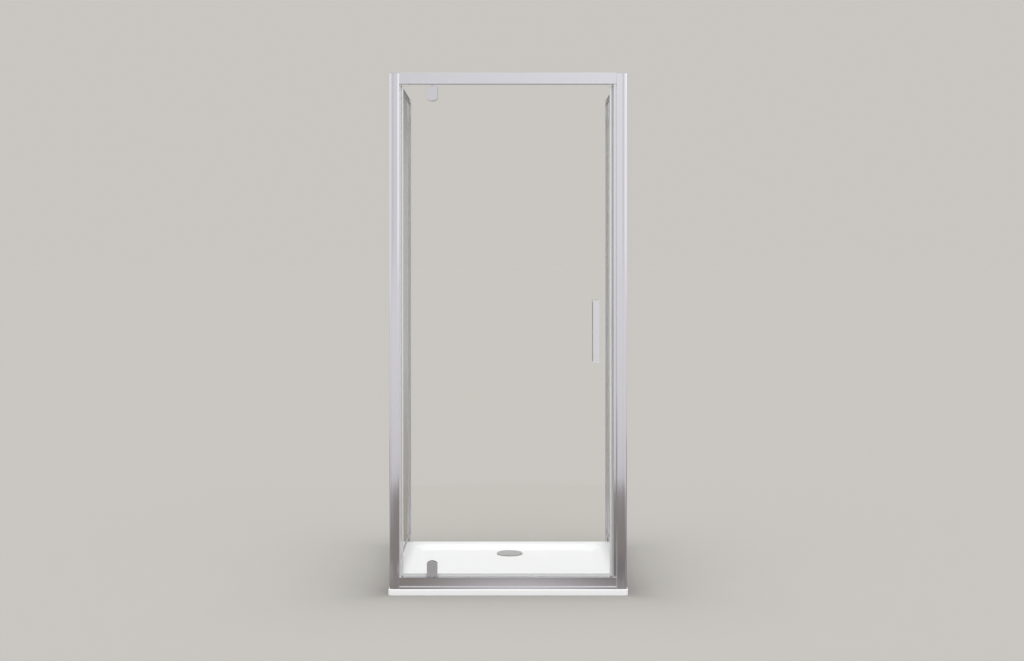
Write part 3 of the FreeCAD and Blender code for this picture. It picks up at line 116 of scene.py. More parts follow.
def distanceFrom(tree, position, place):
    node = addNode(tree, "ShaderNodeVectorMath", operation="DISTANCE")
    link(tree, position, node.inputs[0])
    node.inputs[1].default_value = place
    return node.outputs["Value"]


def splitVector(tree, source):
    node = addNode(tree, "ShaderNodeSeparateXYZ")
    link(tree, source, node.inputs["Vector"])
    return node.outputs


def ramp(tree, source, stops):
    node = addNode(tree, "ShaderNodeValToRGB")
    link(tree, source, node.inputs["Fac"])
    elements = node.color_ramp.elements
    while len(elements) < len(stops):
        elements.new(0.5)
    for element, (place, colour) in zip(elements, stops):
        element.position = place
        element.color = (*colour, 1)
    return node.outputs["Color"]


def mapRange(tree, source, given=(0.0, 1.0), wanted=(0.0, 1.0), blend="LINEAR"):
    node = addNode(tree, "ShaderNodeMapRange", interpolation_type=blend)
    link(tree, source, node.inputs["Value"])
    for name, value in zip(("From Min", "From Max", "To Min", "To Max"), (*given, *wanted)):
        node.inputs[name].default_value = value
    return node.outputs["Result"]


def mixColours(tree, factor, first, second):
    node = addNode(tree, "ShaderNodeMix", data_type="RGBA")
    link(tree, factor, node.inputs[0])
    for socket, value in ((node.inputs[6], first), (node.inputs[7], second)):
        if isinstance(value, tuple):
            socket.default_value = (*value, 1)
        else:
            link(tree, value, socket)
    return node.outputs[2]


def mixShaders(tree, factor, first, second):
    node = addNode(tree, "ShaderNodeMixShader")
    link(tree, factor, node.inputs["Fac"])
    link(tree, first, node.inputs[1])
    link(tree, second, node.inputs[2])
    return node.outputs[0]


def showSurface(tree, shader, kind="ShaderNodeOutputMaterial"):
    output = addNode(tree, kind)
    link(tree, shader, output.inputs["Surface"])


def noiseOf(tree, stretch, scale, detail):
    place = addNode(tree, "ShaderNodeTexCoord")
    mapping = addNode(tree, "ShaderNodeMapping")
    mapping.inputs["Scale"].default_value = stretch
    link(tree, place.outputs["Object"], mapping.inputs["Vector"])
    noise = addNode(tree, "ShaderNodeTexNoise")
    noise.inputs["Scale"].default_value = scale
    noise.inputs["Detail"].default_value = detail
    link(tree, mapping.outputs["Vector"], noise.inputs["Vector"])
    return noise.outputs["Fac"]


# Stage: a floor and a world in the photograph's backdrop colour. The light comes from the world
# and from soft suns, so the open floor is as bright everywhere, and it keeps the object's shadow.
# Metal and glass mirror a pale studio in front of the object, with a darker floor near it and
# a dark opening behind it. The floor they mirror is a glow in painted colours, not a lit surface.
# Angles are in degrees, lengths in metres.

stage = {
    "backdrop": (0.584, 0.565, 0.533),
    "floorAlbedo": (0.481, 0.466, 0.4396),
    "floorReach": 300.0,
    "floorDrop": 0.0005,
    "skyLight": 0.93,
    "suns": [
        {"turn": (38, 0, 35), "strength": 0.575, "angle": 40},
        {"turn": (38, 0, -35), "strength": 0.575, "angle": 40},
    ],
    # The footprint and contact numbers shape a soft shade painted into the floor's colour round the
    # tray.
    "footprint": 0.45,
    "contactReach": 0.70,
    "contact": [
        (0.0, 0.66),
        (0.045, 0.70),
        (0.09, 0.755),
        (0.18, 0.845),
        (0.36, 0.925),
        (0.6, 0.97),
        (1.0, 1.0),
    ],
    "contactInFront": 0.38,
    "leastDistance": 0.001,
}

# What the metal and glass mirror. A pair of numbers is where a blend or a ramp starts and where it
# is full. In the sky it is a part of the direction (1 is straight along its axis), and on the floor
# it is a distance in metres, except in paleTurn.
mirrored = {
    "heights": (-0.2, 1.0),
    "byHeight": [
        (0.0, (0.72, 0.715, 0.725)),
        (0.17, (0.725, 0.72, 0.73)),
        (0.24, (0.745, 0.74, 0.75)),
        (0.30, (0.77, 0.765, 0.775)),
        (0.40, (0.86, 0.86, 0.865)),
        (0.62, (0.86, 0.86, 0.865)),
        (0.85, (0.70, 0.70, 0.705)),
        (1.0, (0.70, 0.70, 0.705)),
    ],
    "sides": (-1.0, 1.0),
    "bySide": [
        (0.0, (1.0, 1.0, 1.0)),
        (0.26, (1.0, 1.0, 1.0)),
        (0.33, (0.68, 0.68, 0.68)),
        (0.40, (0.72, 0.72, 0.72)),
        (0.455, (0.785, 0.785, 0.785)),
        (0.50, (0.865, 0.865, 0.865)),
        (0.545, (0.915, 0.915, 0.915)),
        (0.585, (1.0, 1.0, 1.0)),
        (0.62, (1.12, 1.12, 1.12)),
        (1.0, (1.0, 1.0, 1.0)),
    ],
    "bySideGain": 1.163,
    "behind": (0.15, 0.162, 0.158),
    "behindFrom": (0.80, 0.93),
    "behindHeights": (0.34, 0.22),
    "horizon": (0.36, 0.36, 0.365),
    "horizonHeights": (0.12, 0.06),
    "horizonDistances": (2.0, 12.0),
    "darkFloor": (0.245, 0.222, 0.205),
    "darkReach": (2.99, 3.05),
    "paleDistances": (3.02, 20.0),
    "paleTurn": (0.6, 0.2),
    "paleFloor": [
        (0.0, (0.625, 0.615, 0.62)),
        (0.10, (0.66, 0.65, 0.655)),
        (0.30, (0.70, 0.69, 0.695)),
        (1.0, (0.73, 0.72, 0.73)),
    ],
    "patches": [
        {"place": (-2.2, -2.2, 0), "reach": 1.9, "colour": (0.52, 0.52, 0.53)},
        {"place": (2.2, -2.2, 0), "reach": 1.9, "colour": (0.52, 0.52, 0.53)},
        {"place": (0.52, -0.90, 0), "reach": 0.45, "colour": (0.19, 0.18, 0.175)},
        {"place": (-0.86, -0.72, 0), "reach": 0.48, "colour": (0.50, 0.49, 0.50)},
        {"place": (0.86, -0.72, 0), "reach": 0.48, "colour": (0.44, 0.43, 0.44)},
        {"place": (-0.24, -0.86, 0), "reach": 0.15, "colour": (0.54, 0.52, 0.52)},
        {"place": (0.05, -0.42, 0), "reach": 0.55, "colour": (0.62, 0.60, 0.61)},
    ],
}


def glossySky(tree, direction):
    way = splitVector(tree, direction)
    up = ramp(tree, mapRange(tree, way["Z"], mirrored["heights"]), mirrored["byHeight"])
    side = ramp(tree, mapRange(tree, way["X"], mirrored["sides"]), mirrored["bySide"])
    side = multiplyVectors(tree, side, (mirrored["bySideGain"],) * 3)
    steep = mathNode(tree, "ABSOLUTE", way["Z"])
    low = mapRange(tree, steep, mirrored["horizonHeights"])
    opening = mixColours(tree, low, mirrored["behind"], mirrored["horizon"])
    rear = mapRange(tree, way["Y"], mirrored["behindFrom"])
    level = mapRange(tree, steep, mirrored["behindHeights"])
    inside = mathNode(tree, "MULTIPLY", rear, level)
    return mixColours(tree, inside, multiplyVectors(tree, up, side), opening)


def straightGlossy(tree, path):
    # Metal shows the mirrored room where it is looked at. What it throws on other pieces is plain.
    plain = mathNode(tree, "LESS_THAN", path.outputs["Diffuse Depth"], 0.5)
    return mathNode(tree, "MULTIPLY", path.outputs["Is Glossy Ray"], plain)


def addWorld():
    world = bpy.data.worlds.new("world")
    scene.world = world
    tree = clearedTree(world)
    path = addNode(tree, "ShaderNodeLightPath")
    place = addNode(tree, "ShaderNodeTexCoord")
    seen = addNode(tree, "ShaderNodeBackground")
    seen.inputs["Color"].default_value = (*stage["backdrop"], 1)
    light = addNode(tree, "ShaderNodeBackground")
    light.inputs["Color"].default_value = (1, 1, 1, 1)
    light.inputs["Strength"].default_value = stage["skyLight"]
    gloss = addNode(tree, "ShaderNodeBackground")
    link(tree, glossySky(tree, place.outputs["Generated"]), gloss.inputs["Color"])
    unseen = mixShaders(tree, straightGlossy(tree, path), light.outputs[0], gloss.outputs[0])
    rays = path.outputs
    shown = mathNode(tree, "MAXIMUM", rays["Is Camera Ray"], rays["Is Transmission Ray"])
    both = mixShaders(tree, shown, unseen, seen.outputs[0])
    showSurface(tree, both, "ShaderNodeOutputWorld")


def mirroredFloor(tree, position):
    # The colour the floor glows with for mirrored rays, painted by place: dark near the object,
    # with paler and darker patches, and pale far off.
    length = distanceFrom(tree, position, (0, 0, 0))
    dark = mirrored["darkFloor"]
    for patch in mirrored["patches"]:
        near = distanceFrom(tree, position, patch["place"])
        glow = mapRange(tree, near, (patch["reach"], 0.0), blend="SMOOTHSTEP")
        dark = mixColours(tree, glow, dark, patch["colour"])
    distant = mapRange(tree, length, mirrored["horizonDistances"])
    behind = mixColours(tree, distant, dark, mirrored["horizon"])
    far = ramp(tree, mapRange(tree, length, mirrored["paleDistances"]), mirrored["paleFloor"])
    back = mathNode(tree, "DIVIDE", splitVector(tree, position)["Y"], length)
    front = mapRange(tree, back, mirrored["paleTurn"])
    pale = mathNode(tree, "MULTIPLY", mapRange(tree, length, mirrored["darkReach"]), front)
    return mixColours(tree, pale, behind, far)


def paintedFloorShade(tree, position):
    # A soft shade painted into the floor's colour round the tray, weaker in front of it.
    split = splitVector(tree, position)
    joined = addNode(tree, "ShaderNodeCombineXYZ")
    outside = {}
    for axis in "XY":
        across = mathNode(tree, "ABSOLUTE", split[axis])
        past = mathNode(tree, "SUBTRACT", across, stage["footprint"])
        outside[axis] = mathNode(tree, "MAXIMUM", past, 0.0)
        link(tree, outside[axis], joined.inputs[axis])
    away = distanceFrom(tree, joined.outputs["Vector"], (0, 0, 0))
    stops = [(place, (value, value, value)) for place, value in stage["contact"]]
    shade = ramp(tree, mapRange(tree, away, (0.0, stage["contactReach"])), stops)
    safe = mathNode(tree, "ADD", away, stage["leastDistance"])
    ahead = mathNode(tree, "DIVIDE", outside["Y"], safe)
    weaker = mathNode(tree, "MULTIPLY", ahead, stage["contactInFront"])
    return mixColours(tree, weaker, shade, (1.0, 1.0, 1.0))


def floorMaterial():
    material = bpy.data.materials.new("floor")
    tree = clearedTree(material)
    position = addNode(tree, "ShaderNodeTexCoord").outputs["Object"]
    surface = addNode(tree, "ShaderNodeBsdfDiffuse")
    # The floor's colour holds the painted shade round the tray.
    paintedShadeAlbedo = multiplyVectors(tree, paintedFloorShade(tree, position), stage["floorAlbedo"])
    link(tree, paintedShadeAlbedo, surface.inputs["Color"])
    # For mirrored rays the floor is this painted glow, not a lit surface.
    glow = addNode(tree, "ShaderNodeEmission")
    link(tree, mirroredFloor(tree, position), glow.inputs["Color"])
    path = addNode(tree, "ShaderNodeLightPath")
    direct = mathNode(tree, "SUBTRACT", 1.0, path.outputs["Is Transmission Ray"])
    mirror = mathNode(tree, "MULTIPLY", straightGlossy(tree, path), direct)
    showSurface(tree, mixShaders(tree, mirror, surface.outputs[0], glow.outputs[0]))
    return material


def addFloor():
    reach = stage["floorReach"]
    corners = [(-reach, -reach, 0), (reach, -reach, 0), (reach, reach, 0), (-reach, reach, 0)]
    mesh = bpy.data.meshes.new("floor")
    mesh.from_pydata(corners, [], [(0, 1, 2, 3)])
    mesh.materials.append(floorMaterial())
    floor = bpy.data.objects.new("floor", mesh)
    floor.location = (0, 0, -stage["floorDrop"])
    scene.collection.objects.link(floor)


def addSuns():
    for index, sun in enumerate(stage["suns"]):
        data = bpy.data.lights.new(f"sun{index}", "SUN")
        data.energy = sun["strength"]
        data.angle = math.radians(sun["angle"])
        lamp = bpy.data.objects.new(f"sun{index}", data)
        lamp.rotation_euler = [math.radians(turn) for turn in sun["turn"]]
        lamp.visible_transmission = False
        scene.collection.objects.link(lamp)


scene.view_settings.view_transform = "Standard"
addWorld()
addFloor()
addSuns()
print("stage done")


# Materials: each has a soft cloud in its colour and a fine grain in its roughness and bump.

texture = {"cloudDetail": 3, "grainDetail": 2, "darkAt": 0.3, "paleAt": 0.7}

looks = {
    "white_tray": {
        "name": "whiteTray",
        "colour": (0.915, 0.92, 0.93),
        "roughness": 0.3,
        "cloudStretch": (1, 1, 1),
        "cloudScale": 4.0,
        "colourSpread": 0.006,
        "grainStretch": (1, 1, 1),
        "grainScale": 900.0,
        "roughSpread": 0.03,
        "bump": 0.04,
        "bumpDistance": 0.0002,
        "extra": {"Specular IOR Level": 0.12},
    },
    "polished_aluminium": {
        "name": "polishedAluminium",
        "colour": (0.845, 0.84, 0.88),
        "roughness": 0.11,
        "metallic": 1.0,
        "cloudStretch": (1, 1, 0.2),
        "cloudScale": 6.0,
        "colourSpread": 0.012,
        "grainStretch": (1, 1, 0.01),
        "grainScale": 1500.0,
        "roughSpread": 0.02,
        "bump": 0.02,
        "bumpDistance": 0.0001,
    },
    "chrome_fittings": {
        "name": "chromeFittings",
        "colour": (0.88, 0.88, 0.90),
        "roughness": 0.08,
        "metallic": 1.0,
        "cloudStretch": (1, 1, 1),
        "cloudScale": 30.0,
        "colourSpread": 0.01,
        "grainStretch": (1, 1, 1),
        "grainScale": 800.0,
        "roughSpread": 0.015,
        "bump": 0.01,
        "bumpDistance": 0.0001,
    },
    "grey_gasket": {
        "name": "greyGasket",
        "colour": (0.36, 0.365, 0.37),
        "roughness": 0.55,
        "cloudStretch": (1, 1, 1),
        "cloudScale": 40.0,
        "colourSpread": 0.05,
        "grainStretch": (1, 1, 1),
        "grainScale": 1800.0,
        "roughSpread": 0.06,
        "bump": 0.15,
        "bumpDistance": 0.0002,
    },
    "soft_seal": {
        "name": "softSeal",
        "colour": (0.79, 0.80, 0.80),
        "roughness": 0.26,
        "metallic": 0.38,
        "cloudStretch": (1, 1, 0.1),
        "cloudScale": 25.0,
        "colourSpread": 0.02,
        "grainStretch": (1, 1, 0.02),
        "grainScale": 900.0,
        "roughSpread": 0.05,
        "bump": 0.05,
        "bumpDistance": 0.0002,
    },
    "magnetic_strip": {
        "name": "magneticStrip",
        "colour": (0.52, 0.52, 0.53),
        "roughness": 0.4,
        "cloudStretch": (1, 1, 0.1),
        "cloudScale": 25.0,
        "colourSpread": 0.04,
        "grainStretch": (1, 1, 0.05),
        "grainScale": 1200.0,
        "roughSpread": 0.05,
        "bump": 0.08,
        "bumpDistance": 0.0002,
    },
    "nylon": {
        "name": "nylon",
        "colour": (0.80, 0.80, 0.77),
        "roughness": 0.45,
        "cloudStretch": (1, 1, 1),
        "cloudScale": 60.0,
        "colourSpread": 0.02,
        "grainStretch": (1, 1, 1),
        "grainScale": 1500.0,
        "roughSpread": 0.05,
        "bump": 0.08,
        "bumpDistance": 0.0001,
    },
    "stainless_screws": {
        "name": "stainlessScrews",
        "colour": (0.66, 0.65, 0.64),
        "roughness": 0.28,
        "metallic": 1.0,
        "cloudStretch": (1, 1, 1),
        "cloudScale": 300.0,
        "colourSpread": 0.05,
        "grainStretch": (1, 1, 1),
        "grainScale": 2500.0,
        "roughSpread": 0.06,
        "bump": 0.05,
        "bumpDistance": 0.0001,
    },
    "cap_plastic": {
        "name": "capPlastic",
        "colour": (0.48, 0.48, 0.50),
        "roughness": 0.35,
        "cloudStretch": (1, 1, 1),
        "cloudScale": 60.0,
        "colourSpread": 0.03,
        "grainStretch": (1, 1, 1),
        "grainScale": 1500.0,
        "roughSpread": 0.05,
        "bump": 0.1,
        "bumpDistance": 0.0001,
    },
    "waste_grey": {
        "name": "wasteGrey",
        "colour": (0.475, 0.475, 0.47),
        "roughness": 0.45,
        "metallic": 0.35,
        "cloudStretch": (1, 1, 1),
        "cloudScale": 60.0,
        "colourSpread": 0.02,
        "grainStretch": (0.02, 1, 1),
        "grainScale": 1500.0,
        "roughSpread": 0.05,
        "bump": 0.04,
        "bumpDistance": 0.0001,
    },
}

clampLook = {
    "name": "satinClamp",
    "colour": (0.72, 0.725, 0.75),
    "roughness": 0.42,
    "edgeRoughness": 0.10,
    # The edge's darker colour is a painted shade.
    "edgeShadeColour": (0.32, 0.32, 0.335),
    "edgeToFace": (0.75, 0.95),
    "metallic": 1.0,
    "cloudStretch": (1, 1, 1),
    "cloudScale": 30.0,
    "colourSpread": 0.012,
    "grainStretch": (1, 1, 1),
    "grainScale": 1400.0,
    "roughSpread": 0.03,
    "bump": 0.05,
    "bumpDistance": 0.0001,
    "nodes": [
        "top_clamp_outer",
        "top_clamp_inner",
        "bottom_clamp_outer",
        "bottom_clamp_inner",
    ],
}

# Die lines run along each bar and seal. The upright ones have them from their own look.
barLines = {
    "acrossBars": {
        "base": "polished_aluminium",
        "grainStretch": (0.01, 1, 1),
        "cloudStretch": (0.2, 1, 1),
        "nodes": ["header_rail", "threshold_rail"],
    },
    "footSeal": {
        "base": "soft_seal",
        "grainStretch": (0.02, 1, 1),
        "cloudStretch": (0.1, 1, 1),
        "nodes": ["door_bottom_seal"],
    },
    "backBars": {
        "base": "polished_aluminium",
        "grainStretch": (1, 0.01, 1),
        "cloudStretch": (1, 0.2, 1),
        "nodes": [
            "panel_top_rail_left",
            "panel_top_rail_right",
            "panel_bottom_rail_left",
            "panel_bottom_rail_right",
        ],
    },
}

glassLook = {
    "name": "clearGlass",
    "colour": (0.995, 0.996, 0.988),
    "ior": 1.5,
    "through": (0.996, 0.998, 0.994),
    "smear": 0.012,
    "smearScale": 7.0,
}


def principled(tree, colour, metallic):
    shader = addNode(tree, "ShaderNodeBsdfPrincipled")
    shader.inputs["Base Color"].default_value = (*colour, 1)
    shader.inputs["Metallic"].default_value = metallic
    return shader


def clouded(tree, look):
    cloud = noiseOf(tree, look["cloudStretch"], look["cloudScale"], texture["cloudDetail"])
    dark = [part * (1 - look["colourSpread"]) for part in look["colour"]]
    pale = [part * (1 + look["colourSpread"]) for part in look["colour"]]
    return ramp(tree, cloud, [(texture["darkAt"], dark), (texture["paleAt"], pale)])


def bump(tree, source, look):
    node = addNode(tree, "ShaderNodeBump")
    node.inputs["Strength"].default_value = look["bump"]
    node.inputs["Distance"].default_value = look["bumpDistance"]
    link(tree, source, node.inputs["Height"])
    return node.outputs["Normal"]


def polishedShadedEdges(tree, look, colour, rough):
    # A clamp's flat faces look along Y. All else is its polished edge, smoother, and darkened by a
    # painted shade.
    place = addNode(tree, "ShaderNodeTexCoord")
    facing = mathNode(tree, "ABSOLUTE", splitVector(tree, place.outputs["Normal"])["Y"])
    flat = mapRange(tree, facing, look["edgeToFace"])
    blend = addNode(tree, "ShaderNodeMix", data_type="FLOAT")
    link(tree, flat, blend.inputs[0])
    blend.inputs[2].default_value = look["edgeRoughness"]
    link(tree, rough, blend.inputs[3])
    return mixColours(tree, flat, look["edgeShadeColour"], colour), blend.outputs[0]


def surfaceMaterial(look):
    material = bpy.data.materials.new(look["name"])
    tree = clearedTree(material)
    shader = principled(tree, look["colour"], look.get("metallic", 0.0))
    grain = noiseOf(tree, look["grainStretch"], look["grainScale"], texture["grainDetail"])
    spread = look["roughSpread"]
    limits = (look["roughness"] - spread, look["roughness"] + spread)
    colour, rough = clouded(tree, look), mapRange(tree, grain, wanted=limits)
    if "edgeShadeColour" in look:
        colour, rough = polishedShadedEdges(tree, look, colour, rough)
    link(tree, colour, shader.inputs["Base Color"])
    link(tree, rough, shader.inputs["Roughness"])
    link(tree, bump(tree, grain, look), shader.inputs["Normal"])
    for name, value in look.get("extra", {}).items():
        shader.inputs[name].default_value = value
    showSurface(tree, shader.outputs[0])
    return material


def glassMaterial(look):
    # Clear glass with a faint smear. Light passes it straight, without a caustic.
    material = bpy.data.materials.new(look["name"])
    tree = clearedTree(material)
    shader = principled(tree, look["colour"], 0.0)
    shader.inputs["Transmission Weight"].default_value = 1.0
    shader.inputs["IOR"].default_value = look["ior"]
    smear = noiseOf(tree, (1, 1, 1), look["smearScale"], texture["cloudDetail"])
    link(tree, mapRange(tree, smear, wanted=(0.0, look["smear"])), shader.inputs["Roughness"])
    clear = addNode(tree, "ShaderNodeBsdfTransparent")
    clear.inputs["Color"].default_value = (*look["through"], 1)
    rays = addNode(tree, "ShaderNodeLightPath").outputs
    lit = mathNode(tree, "MAXIMUM", rays["Is Shadow Ray"], rays["Is Diffuse Ray"])
    showSurface(tree, mixShaders(tree, lit, shader.outputs[0], clear.outputs[0]))
    return material


materials = {slot: surfaceMaterial(look) for slot, look in looks.items()}
materials["clear_glass"] = glassMaterial(glassLook)
slotOf = {part["node"]: part["material_slot"] for part in frame["record"]["subparts"]}
finishOf = {name: materials[slot] for name, slot in slotOf.items()}
finishOf.update(dict.fromkeys(clampLook["nodes"], surfaceMaterial(clampLook)))
for name, bars in barLines.items():
    lined = surfaceMaterial({**looks[bars["base"]], **bars, "name": name})
    finishOf.update(dict.fromkeys(bars["nodes"], lined))
for name, node in frame["nodes"].items():
    node.data.materials.clear()
    node.data.materials.append(finishOf[name])
print("materials done")


# Metal and plastic nodes with softened edges: each is a copy of the node's own mesh, with its
# sharp edges bevelled inward. Each corner post has a larger round on its outer front edge, and
# the right jamb on its front edge beside the door. A tilt is a long band of a bar's front that
# leans a little: it is cut at one X, and its edge at X, Y sinks in.

softened = {
    "bars": {
        "width": 0.0003,
        "segments": 2,
        "nodes": [
            "header_rail",
            "threshold_rail",
            "panel_front_stile_left",
            "panel_front_stile_right",
            "panel_rear_stile_left",
            "panel_rear_stile_right",
            "panel_top_rail_left",
            "panel_top_rail_right",
            "panel_bottom_rail_left",
            "panel_bottom_rail_right",
            "wall_channel_left",
            "wall_channel_right",
            "strike_profile",
            "door_closing_profile",
            "waste_flange",
        ],
    },
    "posts": {
        "width": 0.0004,
        "segments": 2,
        "nodes": ["corner_post_left", "corner_post_right"],
        "round": {"radius": 0.0026, "x": [-0.4455, 0.4455], "y": -0.4438},
        "tilts": {
            "corner_post_left": [
                {"cut": -0.434, "x": -0.438, "y": -0.4429, "sink": 0.0005},
                {"cut": -0.4385, "x": -0.4455, "y": -0.445, "sink": 0.0012},
            ],
            "corner_post_right": [
                {"cut": 0.429, "x": 0.429, "y": -0.4429, "sink": 0.0007},
                {"cut": 0.4382, "x": 0.4455, "y": -0.445, "sink": 0.0012},
            ],
        },
    },
    "jambs": {
        "width": 0.0003,
        "segments": 2,
        "nodes": ["door_jamb_left", "door_jamb_right"],
        "round": {"radius": 0.0026, "x": [0.4065], "y": -0.445},
        "tilts": {
            "door_jamb_left": [
                {"cut": -0.4165, "x": -0.409, "y": -0.445, "sink": 0.0012},
                {"cut": -0.4300, "x": -0.434, "y": -0.445, "sink": 0.0003},
            ],
        },
    },
    "small": {
        "width": 0.0006,
        "segments": 3,
        "nodes": [
            "post_cap_left",
            "post_cap_right",
            "handle_outer_top_bracket",
            "handle_outer_bottom_bracket",
            "handle_inner_top_bracket",
            "handle_inner_bottom_bracket",
            "strike_magnet",
            "door_magnet",
            "waste_cover",
        ],
    },
}

# How meshes are cleaned and their edges found, in metres and degrees.
meshRules = {
    "mergeWithin": 1e-6,
    "flatAngle": 1,
    "bevelAngle": 35,
    "bevelProfile": 0.5,
    "roundSegments": 6,
    "longEdge": 0.5,
    "uprightWithin": 1e-5,
    "roundWithin": 2e-4,
    "tiltWithin": 2e-5,
}


def bodyOf(node):
    for body, names in frame["record"]["behaviour"]["bodies"].items():
        if node in names:
            return body
    return "root"


def addPiece(name, mesh, node):
    piece = bpy.data.objects.new(name, mesh)
    scene.collection.objects.link(piece)
    mesh.materials.clear()
    mesh.materials.append(finishOf[node])
    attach(piece, bodyOf(node))
    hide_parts(node)


def finishedMesh(work, name):
    mesh = bpy.data.meshes.new(name)
    work.to_mesh(mesh)
    work.free()
    return mesh


def cleanCopy(node):
    work = bmesh.new()
    work.from_mesh(frame["nodes"][node].data)
    work.transform(frame["nodes"][node].matrix_world)
    bmesh.ops.remove_doubles(work, verts=work.verts, dist=meshRules["mergeWithin"])
    flat = math.radians(meshRules["flatAngle"])
    bmesh.ops.dissolve_limit(work, angle_limit=flat, verts=work.verts, edges=work.edges)
    return work


def bevelled(work, edges, width, segments):
    made = bmesh.ops.bevel(
        work,
        geom=edges,
        offset=width,
        offset_type="OFFSET",
        segments=segments,
        profile=meshRules["bevelProfile"],
        affect="EDGES",
        clamp_overlap=True,
    )
    for face in made["faces"]:
        face.smooth = True


def sharpEdges(work, degrees):
    least = math.radians(degrees)
    closed = [edge for edge in work.edges if len(edge.link_faces) == 2]
    return [edge for edge in closed if edge.calc_face_angle() > least]


def longEdgesAt(work, spot):
    found = []
    for edge in work.edges:
        low, high = sorted((vert.co for vert in edge.verts), key=lambda co: co.z)
        upright = (high - low).xy.length < meshRules["uprightWithin"]
        long = high.z - low.z > meshRules["longEdge"]
        apart = max(abs(low.y - spot["y"]), min(abs(low.x - x) for x in spot["x"]))
        if upright and long and apart < meshRules["roundWithin"]:
            found.append(edge)
    return found


def tiltBand(work, tilt):
    geom = [*work.verts, *work.edges, *work.faces]
    place, along = (tilt["cut"], 0, 0), (1, 0, 0)
    near = meshRules["mergeWithin"]
    bmesh.ops.bisect_plane(work, geom=geom, plane_co=place, plane_no=along, dist=near)
    for vert in work.verts:
        apart = max(abs(vert.co.x - tilt["x"]), abs(vert.co.y - tilt["y"]))
        if apart < meshRules["tiltWithin"]:
            vert.co.y += tilt["sink"]


def softenedPiece(node, group):
    work = cleanCopy(node)
    for tilt in group.get("tilts", {}).get(node, []):
        tiltBand(work, tilt)
    for face in work.faces:
        face.smooth = False
    if "round" in group:
        edges = longEdgesAt(work, group["round"])
        bevelled(work, edges, group["round"]["radius"], meshRules["roundSegments"])
    edges = sharpEdges(work, meshRules["bevelAngle"])
    bevelled(work, edges, group["width"], group["segments"])
    name = node + "Shaped"
    addPiece(name, finishedMesh(work, name), node)


for group in softened.values():
    for node in group["nodes"]:
        softenedPiece(node, group)
print("softened pieces done")


# Seals: each is the section of a soft profile, in millimetres about the line it runs along, and
# drawn out to the length of its node. The upright seals' sections are X, Y, the foot seal's Y, Z.

sealCrease = 40  # degrees between faces that are shaded apart

sealSections = {
    "jamb_seal_strip": {
        "along": "z",
        "origin": (-0.409, -0.427),
        "points": [
            (0, -6.0), (3.9, -6.0), (4.6, -5.8), (5.2, -5.3), (5.5, -4.4), (5.5, -2.2),
            (5.1, -1.0), (5.1, 1.0), (5.5, 2.2), (5.5, 4.4), (5.2, 5.3), (4.6, 5.8),
            (3.9, 6.0), (0, 6.0),
        ],
    },
    "door_hinge_seal": {
        "along": "z",
        "origin": (-0.402, -0.427),
        "points": [
            (0.4, -4.5), (0.1, -3.9), (0.0, -3.0), (0.0, 3.0), (0.1, 3.9), (0.4, 4.5),
            (1.0, 4.8), (5.8, 4.8), (6.6, 4.5), (7.0, 3.9), (6.9, 3.4), (1.6, 3.1),
            (1.6, -3.1), (6.9, -3.4), (7.0, -3.9), (6.6, -4.5), (5.8, -4.8), (1.0, -4.8),
        ],
    },
    "door_bottom_seal": {
        "along": "x",
        "origin": (-0.427, 0.0),
        "points": [
            (-4.5, 77), (-4.5, 70.2), (-4.2, 68.6), (-4.5, 66.9), (-3.9, 66.9), (-3.4, 68.7),
            (-2.6, 69.6), (-1.2, 69.6), (-1.0, 68.4), (-0.5, 67.6), (0.5, 67.6), (1.0, 68.4),
            (1.2, 69.6), (2.6, 69.6), (3.4, 68.7), (3.9, 66.9), (4.5, 66.9), (4.2, 68.6),
            (4.5, 70.2), (4.5, 77), (3.1, 77), (3.1, 71), (-3.1, 71), (-3.1, 77),
        ],
    },
}


def solidBoxes(node):
    # The lowest and highest corner of each separate solid of a node.
    work = cleanCopy(node)
    todo = set(work.verts)
    found = []
    while todo:
        pile = [todo.pop()]
        solid = list(pile)
        while pile:
            for edge in pile.pop().link_edges:
                for vert in edge.verts:
                    if vert in todo:
                        todo.discard(vert)
                        pile.append(vert)
                        solid.append(vert)
        low = Vector([min(vert.co[axis] for vert in solid) for axis in range(3)])
        high = Vector([max(vert.co[axis] for vert in solid) for axis in range(3)])
        found.append((low, high))
    work.free()
    return sorted(found, key=lambda box: tuple(box[0]))


def drawnOut(work, section, low, high):
    first, second = section["origin"]
    rings = []
    for end in (low, high):
        ring = []
        for a, b in section["points"]:
            a, b = first + a / 1000, second + b / 1000
            place = (a, b, end.z) if section["along"] == "z" else (end.x, a, b)
            ring.append(work.verts.new(place))
        work.faces.new(ring)
        rings.append(ring)
    start, stop = rings
    for i in range(len(start)):
        j = (i + 1) % len(start)
        work.faces.new((start[i], start[j], stop[j], stop[i]))


def sealPiece(node, section):
    work = bmesh.new()
    for low, high in solidBoxes(node):
        drawnOut(work, section, low, high)
    bmesh.ops.recalc_face_normals(work, faces=work.faces)
    for face in work.faces:
        face.smooth = len(face.verts) == 4  # the ends have more corners and stay flat
    for edge in sharpEdges(work, sealCrease):
        edge.smooth = False
    name = node + "Profile"
    addPiece(name, finishedMesh(work, name), node)


for node, section in sealSections.items():
    sealPiece(node, section)
print("seals done")


# Screws: one pan head screw with a cross recess, placed on every screw of the model by Geometry
# Nodes. Each set says which way its heads look, how high they are and how thick the shank is, in
# millimetres. Their radius and length come from the model's own screws. The head's outline and
# the cross are in parts of the head's radius and height.

